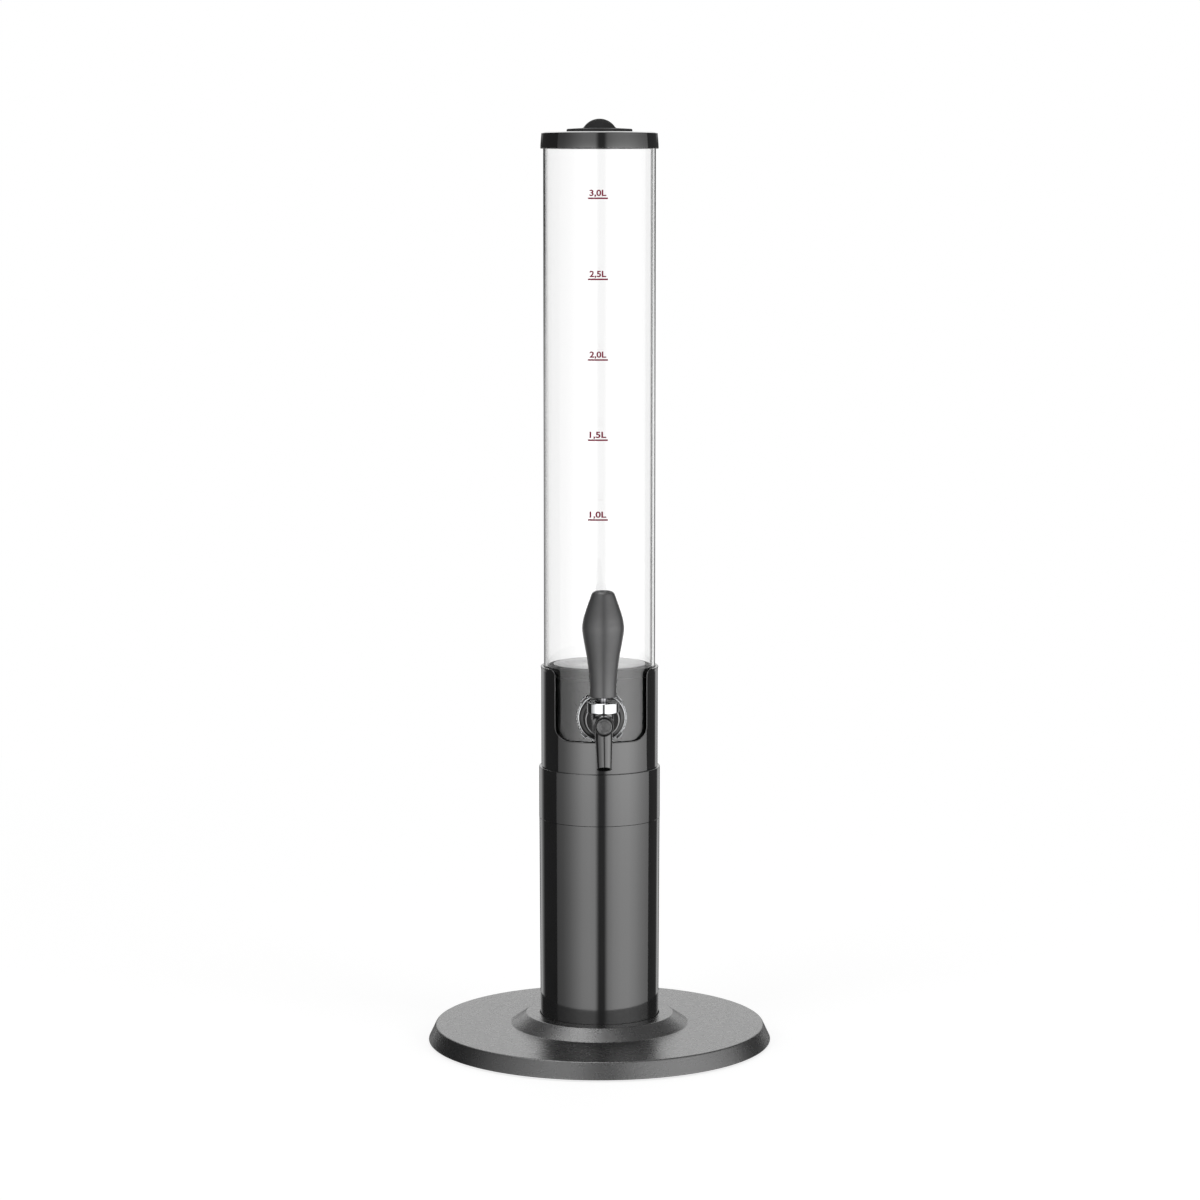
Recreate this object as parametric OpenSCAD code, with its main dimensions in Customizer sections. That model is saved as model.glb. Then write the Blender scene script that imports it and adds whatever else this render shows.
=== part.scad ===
// Beer tower dispenser: a weighted round base, a column, a windowed holder, a clear
// tank that lifts out of it, and a lever tap at the tank's foot.
// Lengths are in millimetres. Z 0 is the table, the tank's axis is the Z axis, and the
// tap points to the front, which is -Y.

/* [Base] */
// Radius of the base at its lower edge
base_r = 156; // [146:0.5:170]
// Height of the sloping rim of the base
base_edge_h = 14.8; // [14:0.2:20]
// How far the sloping rim leans in
base_edge_in = 7; // [3:0.5:10]
// Wall of the base shell
base_wall = 2.5; // [2:0.1:3]
// Height of the raised boss round the column
boss_h = 10; // [8:0.5:14]
// Width of the flat shelf on the boss, round the column
boss_shelf = 12.5; // [8:0.5:18]
// Run of the slope from the boss down to the plate
boss_run = 14.4; // [8:0.2:20]
// Depth of the socket that takes the column
socket_depth = 14; // [10:0.5:15]
// Thickness of the steel ballast ring
ballast_t = 5; // [3:0.5:6]
// Thickness of the bottom cover
cover_t = 3.2; // [2.8:0.1:3.6]
// Radius of a rubber foot
foot_r = 8; // [6:0.5:11]
// Height of a rubber foot
foot_h = 3; // [2.5:0.1:3.6]
// How far the feet stand out below the base
foot_show = 1.5; // [1:0.1:2]

/* [Column] */
// Length of the column, from the socket's floor to its top
column_len = 194.2; // [120:0.2:300]
// How much thinner the column is at its foot, on the radius
column_draft = 0.8; // [0:0.1:1.5]
// Wall of the column
column_wall = 2.4; // [2:0.1:3]

/* [Tank holder] */
// Wall of the holder
holder_wall = 2.2; // [1.8:0.1:3]
// Thickness of the floor that the tank stands over
holder_floor = 4.5; // [4:0.1:6]
// Height of the thicker ring at the holder's foot
ring_h = 47; // [30:0.5:60]
// How far that ring stands out from the collar
ring_step = 2; // [1:0.1:3]
// Gap between the tank and the collar
tank_gap = 0.3; // [0.3:0.05:0.6]
// Width of the window in the collar
window_w = 82; // [64:0.5:88]
// Distance from the tap's axis down to the window's lower edge
window_drop = 23.2; // [22.6:0.2:28]
// Radius of the window's lower corners
window_round = 12; // [4:0.5:18]
// Radius of the flare at the window's upper corners
window_flare = 5; // [2:0.5:8]

/* [Tank] */
// Outer radius of the clear tube
tube_r = 50; // [46:0.5:56]
// Wall of the clear tube
tube_wall = 2.5; // [2:0.1:3]
// Length of the clear tube
tube_len = 546.9; // [300:0.1:700]
// Thickness of the rubber ring under the tank
seat_t = 2.5; // [1.5:0.1:4]
// Height of the cup's skirt, up to the shoulder that carries the tube
skirt_h = 58.5; // [50:0.5:64]
// Height of the cup inside the tube
cup_h = 73.5; // [68:0.5:90]
// Wall of the cup inside the tube
cup_wall = 5.2; // [4.6:0.1:6]
// Wall of the cup's skirt
skirt_wall = 3; // [2.5:0.1:4]
// Thickness of the cup's floor
cup_floor_t = 3; // [2:0.1:5]
// How far the cup stands above the collar
cup_show = 1; // [0:0.1:3]

/* [Tap] */
// Height of the tap's axis above the cup's shoulder
tap_rise = 33; // [30:0.5:38]
// Outer radius of the threaded shank
shank_r = 8; // [7:0.1:8.5]
// Bore radius of the shank
shank_bore_r = 5.2; // [4:0.1:5.6]
// Radius of the flange
flange_r = 20.4; // [18:0.1:21.5]
// Thickness of the flange
flange_t = 3.8; // [3:0.1:5]
// Radius of the body's drum
drum_r = 15.6; // [14.5:0.1:16.4]
// Length of the body's drum
drum_t = 10.5; // [9.5:0.1:10.8]
// Distance from the flange to the lever's axis
lever_reach = 25.5; // [25.5:0.1:30]
// Distance from the lever's axis to the spout's axis
elbow_reach = 11.5; // [11:0.1:14]
// Barrel radius next to the drum
barrel_r = 9.6; // [9.2:0.1:10.4]
// Bore radius of the valve chamber
chamber_r = 5.8; // [5.6:0.05:6]
// Lean of the spout, forward from the vertical, in degrees
spout_tilt = 25.6; // [10:0.2:32]
// Length of the spout from the tap's axis
spout_len = 40.9; // [30:0.1:55]
// Bore radius of the spout's outlet
spout_bore_r = 5; // [4.6:0.1:5.2]
// Length of the outlet's bore, up to the narrower passage
outlet_len = 28; // [12:0.5:28]
// Radius of the chrome bonnet
bonnet_r = 14.35; // [12.5:0.05:14.8]
// Height of the chrome bonnet
bonnet_h = 9; // [8:0.1:9.2]
// Height of the lever's ball above the tap's axis
pivot_rise = 11; // [11:0.1:12.5]
// Radius of the lever's ball
ball_r = 6.5; // [6.4:0.05:6.6]
// Radius of the lever's stem
stem_r = 3.2; // [2.8:0.05:3.3]
// Length of stem between the bonnet and the handle
stem_show = 4.4; // [4.4:0.1:10]
// Height of the handle
handle_h = 93.5; // [80:0.5:120]
// Largest radius of the handle
handle_r = 18; // [17:0.1:18.4]

/* [Lid] */
// Thickness of the lid
lid_t = 2.5; // [2:0.1:4]
// Length of the lid's skirt below its underside
lid_skirt = 12.2; // [8:0.1:20]
// Wall of the skirt at its lower edge
lid_wall = 2.15; // [1.8:0.05:3]
// Gap between the lid's skirt and the tube
lid_gap = 0.3; // [0.3:0.05:0.6]
// Radius of the filling hole
fill_r = 22; // [18:0.5:25]
// Radius of the plug's disc
disc_r = 29.2; // [27:0.1:34]
// Radius of the plug's round grip
grip_r = 16.8; // [14:0.1:19]
// Thickness of the plug's round grip
grip_t = 6; // [5:0.1:8]

/* [Screws] */
// Radius of a screw's thread
screw_r = 1.5; // [1.3:0.05:1.7]
// Radius of a screw's head
head_r = 2.8; // [2.4:0.05:2.9]
// Height of a screw's head
head_h = 1.6; // [1.4:0.05:1.7]

/* [Hidden] */

// Finishes, as they are seen
black_gloss = "#18181a";
black_matt = "#2b2b2d";
rubber_black = "#111112";
grey_satin = "#3a3a3c";
clear_plastic = "#dfe6e880";
bright_metal = "#c9ccd0";
steel_grey = "#8d9094";
brass_yellow = "#c2a35a";
seal_white = "#e6e6e2";

$fn = 96;
half_turn = 180;
full_turn = 360;
// Steps in each rounded corner, and in each stretch of the handle's curve
arc_steps = 5;
spline_steps = 4;
// How far a cut runs past the face it opens
over = 1;
// How far joined shapes run into each other
bite = 0.5;

// Screw details: recess, lead-in, gap in a hole, gap round a head, thread in a post
head_round = 0.6;
cross_w = 0.7;
cross_d = 0.8;
screw_tip = 0.6;
hole_gap = 0.1;
head_gap = 0.2;
screw_grip = 7;
pilot_spare = 1;
hole_r = screw_r + hole_gap;
sink_r = head_r + head_gap;
sink_d = head_h + head_gap;
pilot_depth = screw_grip + pilot_spare;

// Posts that take the screws
post_r = 4;
post_bite = 1.2;
post_low_h = 12;
post_high_h = 14;
post_count = 4;
post_turn = 45;

// Radii that follow the tube
collar_in = tube_r + tank_gap;
collar_r = collar_in + holder_wall;
ring_r = collar_r + ring_step;
ring_in = ring_r - holder_wall;
column_inset = 0.1;
column_top_r = ring_r - column_inset;
column_low_r = column_top_r - column_draft;
column_top_in = column_top_r - column_wall;
column_low_in = column_low_r - column_wall;
post_top_at = column_top_in - post_r + post_bite;
post_low_at = column_low_in - post_r + post_bite;
socket_gap = 0.5;
socket_r = column_low_r + socket_gap;
boss_r = socket_r + boss_shelf;
boss_foot_r = boss_r + boss_run;

// Heights of the stand
z_rim = foot_show;
z_plate = z_rim + base_edge_h;
z_boss = z_plate + boss_h;
z_socket = z_boss - socket_depth;
z_ring = z_socket + column_len;
z_floor = z_ring + holder_floor;
z_step = z_ring + ring_h;

// Heights of the tank
z_cup = z_floor + seat_t;
z_shoulder = z_cup + skirt_h;
z_cup_top = z_shoulder + cup_h;
z_collar = z_cup_top - cup_show;
z_tube = z_shoulder + tube_len;
z_lid = z_tube + lid_t;
tap_z = z_shoulder + tap_rise;
z_window = tap_z - window_drop;

// Base details
rim_round = 0.8;
edge_round = 2;
foot_blend = 3;
boss_round = 1.8;
lip_round = 0.6;
hub_hole_r = 36;
rib_count = 12;
rib_t = 2;
rib_turn = 15;
rib_gap = 0.2;
cover_gap = 0.4;
pad_h = 0.8;
pad_w = 4;
cover_screw_count = 6;
cover_screw_turn = 30;
cover_screw_inset = 7.9;
cover_post_r = 3.5;
ballast_gap = 1.5;
ballast_inner_gap = 3.4;
foot_count = 6;
foot_inset = 31;
foot_round = 1;
foot_gap = 0.1;
edge_tilt = atan(base_edge_in / base_edge_h);
edge_off = base_wall / cos(edge_tilt);
boss_off = base_wall * tan(atan(boss_h / boss_run) / 2);
z_cover = z_rim + cover_t;
z_ballast = z_cover + pad_h;
z_rib = z_ballast + ballast_t + rib_gap;
z_under_plate = z_plate - base_wall;
z_socket_under = z_socket - base_wall;
cover_screw_at = rim_in(z_cover) - cover_screw_inset;
ballast_r = cover_screw_at - cover_post_r - ballast_gap;
ballast_in = socket_r + base_wall + ballast_inner_gap;
foot_at = base_r - foot_inset;

// Holder details
holder_spigot = 10;
holder_spigot_gap = 0.3;
holder_spigot_r = column_top_in - holder_spigot_gap;
spigot_lead = 0.8;
notch_gap = 0.4;
floor_hole_r = 32;
ring_round = 0.6;
bead = 0.6;
bead_h = 3;
guide_count = 8;
guide_t = 2;
seat_w = 5.5;
seat_round = 0.5;

// Cup details
cup_gap = 0.1;
cup_r = tube_r - tube_wall - cup_gap;
cup_bore_r = cup_r - cup_wall;
cup_slope = 1.7;
cup_round = 0.8;
cup_fillet = 3;
cup_floor_drop = 17;
z_cup_floor = tap_z - cup_floor_drop;
z_cup_under = z_cup_floor - cup_floor_t;
cup_rib_count = 6;
cup_rib_h = 8;
groove_d = 1.5;
groove_w = 2.4;
groove_rise = 6;
groove_drop = 7.5;
seal_r = 0.78;
seal_at = cup_r - groove_d + seal_r;
tap_pad_r = 13.5;
tap_pad_rise = 2.2;
shank_gap = 0.3;

// Distances of the tap's parts from the tank's axis
gasket_t = 1.2;
gasket_r = flange_r + shank_gap;
gasket_back = 10;
flute_ring_t = 2;
flute_ring_r = flange_r + flute_ring_t;
flute_count = 30;
flute_r = 1.3;
flute_d = 0.8;
tab_count = 4;
tab_turn = 45;
tab_w = 7;
tab_out = 1.3;
recess_d = 1;
recess_gap = 0.1;
socket_d = 8;
u_pad = cup_bore_r - tap_pad_rise;
u_gasket = tube_r + gasket_t;
u_ring = u_gasket + flute_ring_t;
u_flange = u_ring + flange_t;
u_recess = u_flange - recess_d;
u_seat = u_flange + socket_d;
u_drum = u_flange + drum_t;
u_lever = u_flange + lever_reach;
u_elbow = u_lever + elbow_reach;
barrel_nose = 12.5;
u_front = u_elbow + barrel_nose;
nut_t = 5.3;
nut_r = 13;
shank_end = 2;
u_nut = u_pad - gasket_t - nut_t;
u_shank = u_nut - shank_end;

// Flange, shank and body details
flange_edge = 1.4;
flange_bevel = 1.5;
flange_front_r = flange_r - flange_bevel - 2 * flange_bevel / sqrt(2);
shank_head_r = 12;
shank_head_wall = 3;
shank_head_floor = 1.5;
thread_gap = 0.1;
drum_round = 1.4;
barrel_taper = 0.8;
barrel_round = 1.2;
barrel_front_r = barrel_r - barrel_taper;
neck_inset = 0.1;
neck_r = barrel_r - neck_inset;
neck_wall = 1.6;
neck_bore_r = neck_r - neck_wall;
seat_bore_r = 5.4;
seat_bore_len = 4;
spout_root_r = 8.2;
spout_tip_wall = 1.55;
passage_step = 0.5;
plug_head_r = 6.8;
plug_head_t = 3;
plug_head_round = 1;
plug_spigot = 2.5;
guide_r = 4;
guide_len = 11.5;
guide_spare = 1;

// Lever details, with heights counted from the ball's centre
ball_gap = 0.25;
seat_low = 4;
seat_high = 1.5;
washer_low = 1;
washer_high = 5;
neck_short = 0.5;
bonnet_t = 2.5;
bonnet_round = 1.2;
bonnet_edge = 0.5;
slot_gap = 0.3;
slot_run = 2.95;
arm_root_r = 2.4;
arm_start = 5;
tip_r = 1.9;
tip_gap = 0.25;
stem_thread = 0.2;
thread_len = 18;
insert_r = 5;
insert_len = 20;
insert_gap = 0.05;
insert_groove = 0.5;
handle_base_round = 0.8;
handle_top_round = 4;
z_pivot = tap_z + pivot_rise;
z_bonnet_under = z_pivot + washer_high;
z_bonnet = z_bonnet_under + bonnet_t;
z_handle = z_bonnet + stem_show;
// Height and radius shares along the handle, from its foot to below its rounded top
handle_shares = [[0, 0.639], [0.15, 0.65], [0.34, 0.75], [0.53, 0.922], [0.645, 1],
                 [0.72, 0.961], [0.79, 0.872], [0.93, 0.628]];
handle_top_share = 0.5;

// Valve details
washer_t = 3;
washer_r = 7.5;
nose_r = 1.9;
nose_gap = 0.1;
nose_short = 0.2;
shoulder_r = 4.6;
shoulder_t = 2;
fin_gap = 0.25;
fin_t = 1.6;
fin_len = 8;
fin_turn = 45;
rod_r = 2.4;
rod_gap = 0.1;
block_r = 4.2;
block_half = 6;
pocket_gap = 0.3;
pocket_mouth = 4.2;
valve_screw_r = 1.1;
valve_screw_len = 7;
valve_head_r = 3.4;
valve_head_h = 1.4;

// Lid details
lid_slope = 0.85;
lid_round = 1.3;
lid_in = tube_r + lid_gap;
lid_r = lid_in + lid_wall;
locate_gap = 0.5;
locate_wall = 1.5;
locate_h = 8.5;
locate_r = tube_r - tube_wall - locate_gap;
disc_edge_h = 2.6;
disc_dome = 0.7;
disc_round = 1.1;
disc_under_round = 0.3;
grip_sink = 5.2;
grip_round = 1.8;
grip_fillet = 2.5;
plug_gap = 0.3;
plug_wall = 2.6;
plug_depth = 7;
plug_r = fill_r - plug_gap;
plug_groove_d = 1.3;
plug_groove_w = 1.8;
plug_seal_r = 0.65;
plug_floor_t = 2;

// Radius of the sloping rim's inner face at height z
function rim_in(z) = base_r - edge_off - (z - z_rim) * tan(edge_tilt);

function unit(v) = v / norm(v);

// Points of an arc round a centre, between two angles
function arc(centre, radius, from, to) =
    [for (i = [0 : arc_steps]) let (angle = from + (to - from) * i / arc_steps)
        centre + radius * [cos(angle), sin(angle)]];

// The corner p between its neighbours a and b, rounded with radius r
function corner(p, a, b, r) = r == 0 ? [p] :
    let (u = unit(a - p), v = unit(b - p), half = acos(u * v) / 2,
         centre = p + unit(u + v) * r / sin(half),
         start = p + u * r / tan(half) - centre, end = p + v * r / tan(half) - centre,
         from = atan2(start.y, start.x), turn = atan2(end.y, end.x) - from)
    arc(centre, r, from, from + (turn + full_turn + half_turn) % full_turn - half_turn);

// A closed outline from corners written as [x, y, rounding radius]
function rounded(path) =
    [for (i = [0 : len(path) - 1])
        let (q = path[i], a = path[(i + len(path) - 1) % len(path)], b = path[(i + 1) % len(path)])
        each corner([q.x, q.y], [a.x, a.y], [b.x, b.y], q.z)];

// A point of the smooth curve through a, b, c and d, at t between b and c
function smooth(a, b, c, d, t) =
    (2 * b + (c - a) * t + (2 * a - 5 * b + 4 * c - d) * t * t + (3 * b - a - 3 * c + d) * t * t * t) / 2;

// Solid of revolution from corners written as [radius, height, rounding radius]
module revolve(path) {
    rotate_extrude() polygon(rounded(path));
}

// Round pipe between two heights
module pipe(inner, outer, low, high) {
    revolve([[inner, low, 0], [outer, low, 0], [outer, high, 0], [inner, high, 0]]);
}

// Copies on a circle, the first one turned from +X
module ring_of(count, radius, turn) {
    for (i = [0 : count - 1]) rotate([0, 0, turn + i * full_turn / count]) translate([radius, 0, 0]) children();
}

// Local Z runs forward along the tap's axis from the tank's axis, and local Y is up
module at_tap() {
    translate([0, 0, tap_z]) rotate([90, 0, 0]) children();
}

// Upright, at the point of the tap's axis under the lever
module at_lever() {
    translate([0, -u_lever, tap_z]) children();
}

// Upright, at the centre of the lever's ball
module at_pivot() {
    translate([0, -u_lever, z_pivot]) children();
}

// Local Z runs down the spout from the tap's axis
module at_spout() {
    translate([0, -u_elbow, tap_z]) rotate([half_turn - spout_tilt, 0, 0]) children();
}

// Pan-head screw, its head up and the head's underside at height zero
module screw(length, thread_r, pan_r, pan_h) {
    difference() {
        revolve([[0, -length, 0], [thread_r - screw_tip, -length, 0], [thread_r, -length + screw_tip, 0],
                 [thread_r, 0, 0], [pan_r, 0, 0], [pan_r, pan_h, head_round], [0, pan_h, 0]]);
        for (angle = [0, 90]) rotate([0, 0, angle])
            translate([-pan_r / 2, -cross_w / 2, pan_h - cross_d]) cube([pan_r, cross_w, cross_d + over]);
    }
}

// Radial web with its inner end on a circle of radius start
module web(start, end, low, high, thickness) {
    translate([start, -thickness / 2, low]) cube([end - start, thickness, high - low]);
}

module base_shell() {
    color(black_matt) difference() {
        union() {
            revolve([
                [rim_in(z_rim), z_rim, 0], [base_r, z_rim, rim_round],
                [base_r - base_edge_in, z_plate, edge_round], [boss_foot_r, z_plate, foot_blend],
                [boss_r, z_boss, boss_round], [socket_r, z_boss, lip_round], [socket_r, z_socket, 0],
                [hub_hole_r, z_socket, 0], [hub_hole_r, z_socket_under, 0],
                [socket_r + base_wall, z_socket_under, 0], [socket_r + base_wall, z_boss - base_wall, 0],
                [boss_r - boss_off, z_boss - base_wall, 0], [boss_foot_r - boss_off, z_under_plate, 0],
                [rim_in(z_under_plate), z_under_plate, 0]]);
            ring_of(rib_count, 0, rib_turn)
                web(socket_r + base_wall - bite, rim_in(z_rib) + bite, z_rib, z_under_plate + bite, rib_t);
            ring_of(cover_screw_count, cover_screw_at, cover_screw_turn) translate([0, 0, z_cover])
                cylinder(r = cover_post_r, h = z_under_plate - z_cover + bite);
        }
        ring_of(cover_screw_count, cover_screw_at, cover_screw_turn) translate([0, 0, z_cover - over])
            cylinder(r = hole_r, h = pilot_depth + over);
        ring_of(post_count, post_low_at, post_turn) translate([0, 0, z_socket_under - over])
            cylinder(r = hole_r, h = base_wall + 2 * over);
    }
}

module ballast_ring() {
    color(steel_grey) pipe(ballast_in, ballast_r, z_ballast, z_ballast + ballast_t);
}

module bottom_cover() {
    color(black_matt) difference() {
        union() {
            revolve([[0, z_rim, 0], [rim_in(z_rim) - cover_gap, z_rim, 0],
                     [rim_in(z_cover) - cover_gap, z_cover, 0], [0, z_cover, 0]]);
            pipe(ballast_in, ballast_in + pad_w, z_cover - bite, z_ballast);
            pipe(ballast_r - pad_w, ballast_r, z_cover - bite, z_ballast);
        }
        ring_of(cover_screw_count, cover_screw_at, cover_screw_turn) {
            translate([0, 0, z_rim - over]) cylinder(r = sink_r, h = sink_d + over);
            translate([0, 0, z_rim]) cylinder(r = hole_r, h = cover_t + over);
        }
        ring_of(foot_count, foot_at, 0) translate([0, 0, z_rim - over])
            cylinder(r = foot_r + foot_gap, h = foot_h - foot_show + over);
    }
}

module cover_screws() {
    color(steel_grey) ring_of(cover_screw_count, cover_screw_at, cover_screw_turn)
        translate([0, 0, z_rim + sink_d]) mirror([0, 0, 1])
            screw(cover_t - sink_d + screw_grip, screw_r, head_r, head_h);
}

module rubber_feet() {
    color(rubber_black) ring_of(foot_count, foot_at, 0)
        revolve([[0, 0, 0], [foot_r, 0, foot_round], [foot_r, foot_h, 0], [0, foot_h, 0]]);
}

module column() {
    color(black_gloss) difference() {
        union() {
            revolve([[column_low_in, z_socket, 0], [column_low_r, z_socket, 0],
                     [column_top_r, z_ring, 0], [column_top_in, z_ring, 0]]);
            ring_of(post_count, post_low_at, post_turn) translate([0, 0, z_socket])
                cylinder(r = post_r, h = post_low_h);
            ring_of(post_count, post_top_at, post_turn) translate([0, 0, z_ring - post_high_h])
                cylinder(r = post_r, h = post_high_h);
        }
        ring_of(post_count, post_low_at, post_turn) translate([0, 0, z_socket - over])
            cylinder(r = hole_r, h = pilot_depth + over);
        ring_of(post_count, post_top_at, post_turn) translate([0, 0, z_ring - pilot_depth])
            cylinder(r = hole_r, h = pilot_depth + over);
    }
}

module column_screws() {
    color(steel_grey) ring_of(post_count, post_low_at, post_turn)
        translate([0, 0, z_socket_under]) mirror([0, 0, 1])
            screw(base_wall + screw_grip, screw_r, head_r, head_h);
}

// The opening in the front of the collar, round at its foot and flared at its top
module window_cut() {
    w = window_w / 2;
    rotate([90, 0, 0]) linear_extrude(height = collar_r + bead + over) polygon(concat(
        [[w + window_flare, z_collar + over]],
        arc([w + window_flare, z_collar - window_flare], window_flare, 90, 180),
        arc([w - window_round, z_window + window_round], window_round, 0, -90),
        arc([window_round - w, z_window + window_round], window_round, 270, 180),
        arc([-w - window_flare, z_collar - window_flare], window_flare, 0, 90),
        [[-w - window_flare, z_collar + over]]));
}

module tank_holder() {
    color(black_gloss) difference() {
        union() {
            revolve([
                [holder_spigot_r - holder_wall, z_ring - holder_spigot, 0],
                [holder_spigot_r, z_ring - holder_spigot, spigot_lead], [holder_spigot_r, z_ring, 0],
                [ring_r, z_ring, ring_round], [ring_r, z_step, ring_round], [collar_r, z_step, 0],
                [collar_r, z_collar - bead_h, 0], [collar_r + bead, z_collar, ring_round],
                [collar_in, z_collar, ring_round], [collar_in, z_step - holder_wall, 0],
                [ring_in, z_step - holder_wall - ring_step, 0], [ring_in, z_floor, 0],
                [floor_hole_r, z_floor, 0], [floor_hole_r, z_ring, 0],
                [holder_spigot_r - holder_wall, z_ring, 0]]);
            ring_of(guide_count, 0, post_turn / 2)
                web(collar_in, ring_in + bite, z_floor - bite, z_step - holder_wall, guide_t);
        }
        window_cut();
        ring_of(post_count, post_top_at, post_turn) {
            translate([0, 0, z_ring - over]) cylinder(r = hole_r, h = holder_floor + 2 * over);
            translate([0, 0, z_floor - sink_d]) cylinder(r = sink_r, h = sink_d + over);
            translate([0, 0, z_ring - holder_spigot - over])
                cylinder(r = post_r + notch_gap, h = holder_spigot + over);
        }
    }
}

module holder_screws() {
    color(steel_grey) ring_of(post_count, post_top_at, post_turn)
        translate([0, 0, z_floor - sink_d])
            screw(holder_floor - sink_d + screw_grip, screw_r, head_r, head_h);
}

module seat_ring() {
    color(rubber_black) revolve([
        [tube_r - seat_w, z_floor, 0], [tube_r, z_floor, 0],
        [tube_r, z_cup, seat_round], [tube_r - seat_w, z_cup, seat_round]]);
}

module tank_tube() {
    color(clear_plastic) difference() {
        pipe(tube_r - tube_wall, tube_r, z_shoulder, z_tube);
        at_tap() cylinder(r = shank_r + shank_gap, h = tube_r + over);
    }
}

module tank_cup() {
    color(black_gloss) difference() {
        union() {
            revolve([
                [tube_r - skirt_wall, z_cup, 0], [tube_r, z_cup, cup_round], [tube_r, z_shoulder, 0],
                [cup_r, z_shoulder, 0], [cup_r, z_cup_top, cup_round],
                [cup_bore_r, z_cup_top - cup_slope, cup_round], [cup_bore_r, z_cup_floor, cup_fillet],
                [0, z_cup_floor, 0], [0, z_cup_under, 0], [cup_r - skirt_wall, z_cup_under, 0],
                [cup_r - skirt_wall, z_shoulder - skirt_wall, 0],
                [tube_r - skirt_wall, z_shoulder - skirt_wall, 0]]);
            ring_of(cup_rib_count, 0, 0)
                web(0, cup_r - skirt_wall + bite, z_cup_under - cup_rib_h, z_cup_under + bite, rib_t);
            at_tap() translate([0, 0, u_pad]) cylinder(r = tap_pad_r, h = tap_pad_rise + bite);
        }
        for (z = [z_shoulder + groove_rise, z_cup_top - groove_drop])
            pipe(cup_r - groove_d, cup_r + over, z - groove_w / 2, z + groove_w / 2);
        at_tap() cylinder(r = shank_r + shank_gap, h = tube_r);
    }
}

module cup_seals() {
    color(rubber_black)
        for (z = [z_shoulder + groove_rise, z_cup_top - groove_drop]) translate([0, 0, z])
            rotate_extrude() translate([seal_at, 0]) circle(r = seal_r);
}

module saddle_gasket() {
    color(rubber_black) difference() {
        at_tap() pipe(shank_r + shank_gap, gasket_r, u_gasket - gasket_back, u_gasket);
        cylinder(r = tube_r, h = z_tube);
    }
}

module flange_ring() {
    color(bright_metal) at_tap() difference() {
        union() {
            pipe(shank_r + shank_gap, flute_ring_r, u_gasket, u_ring);
            ring_of(tab_count, 0, tab_turn)
                web(flange_r, flute_ring_r + tab_out, u_gasket, u_ring, tab_w);
        }
        ring_of(flute_count, flute_ring_r - flute_d + flute_r, 0) translate([0, 0, u_gasket - over])
            cylinder(r = flute_r, h = flute_ring_t + 2 * over);
    }
}

module tap_flange() {
    color(black_gloss) at_tap() revolve([
        [shank_r + shank_gap, u_ring, 0], [flange_r, u_ring, 0],
        [flange_r, u_ring + flange_edge, 0], [flange_r - flange_bevel, u_flange - recess_d, 0],
        [flange_front_r, u_flange, 0], [shank_head_r + recess_gap, u_flange, 0],
        [shank_head_r + recess_gap, u_recess, 0], [shank_r + shank_gap, u_recess, 0]]);
}

module tap_shank() {
    chamber_in = shank_head_r - shank_head_wall;
    color(bright_metal) at_tap() revolve([
        [shank_bore_r, u_shank, 0], [shank_r, u_shank, screw_tip], [shank_r, u_recess, 0],
        [shank_head_r, u_recess, 0], [shank_head_r, u_seat, 0], [chamber_in, u_seat, 0],
        [chamber_in, u_recess + shank_head_floor, 0], [shank_bore_r, u_recess + shank_head_floor, 0]]);
}

module shank_gasket() {
    color(rubber_black) at_tap() pipe(shank_r + shank_gap, nut_r, u_pad - gasket_t, u_pad);
}

module shank_nut() {
    color(bright_metal) at_tap() translate([0, 0, u_nut]) difference() {
        cylinder(r = nut_r, h = nut_t, $fn = 6);
        translate([0, 0, -over]) cylinder(r = shank_r + thread_gap, h = nut_t + 2 * over);
    }
}

module tap_body() {
    color(black_gloss) difference() {
        union() {
            at_tap() revolve([
                [0, u_flange, 0], [drum_r, u_flange, 0], [drum_r, u_drum, drum_round],
                [barrel_r, u_drum, 0], [barrel_front_r, u_front, barrel_round], [0, u_front, 0]]);
            at_lever() {
                sphere(r = neck_r);
                cylinder(r = neck_r, h = pivot_rise + washer_high - neck_short);
            }
            at_spout() cylinder(r1 = spout_root_r, r2 = spout_bore_r + spout_tip_wall, h = spout_len);
        }
        at_tap() {
            translate([0, 0, u_flange - over]) cylinder(r = shank_head_r + thread_gap, h = socket_d + over);
            translate([0, 0, u_seat - over]) cylinder(r = seat_bore_r, h = seat_bore_len + 2 * over);
            translate([0, 0, u_seat + seat_bore_len]) cylinder(r = chamber_r, h = u_front - u_seat);
        }
        at_lever() cylinder(r = ball_r - bite, h = pivot_rise);
        at_pivot() translate([0, 0, -seat_low]) cylinder(r = neck_bore_r, h = seat_low + washer_high + over);
        at_spout() {
            cylinder(r = spout_bore_r - passage_step, h = spout_len);
            translate([0, 0, spout_len - outlet_len]) cylinder(r = spout_bore_r, h = outlet_len + over);
        }
    }
}

module body_plug() {
    color(black_gloss) at_tap() revolve([
        [0, u_front + plug_head_t, 0], [plug_head_r, u_front + plug_head_t, plug_head_round],
        [plug_head_r, u_front, 0], [chamber_r - thread_gap, u_front, 0],
        [chamber_r - thread_gap, u_front - plug_spigot, 0], [guide_r, u_front - plug_spigot, 0],
        [guide_r, u_front - plug_spigot - guide_len, 0],
        [rod_r + rod_gap, u_front - plug_spigot - guide_len, 0],
        [rod_r + rod_gap, u_front - plug_spigot - plug_spigot, 0],
        [0, u_front - plug_spigot - plug_spigot, 0]]);
}

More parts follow.
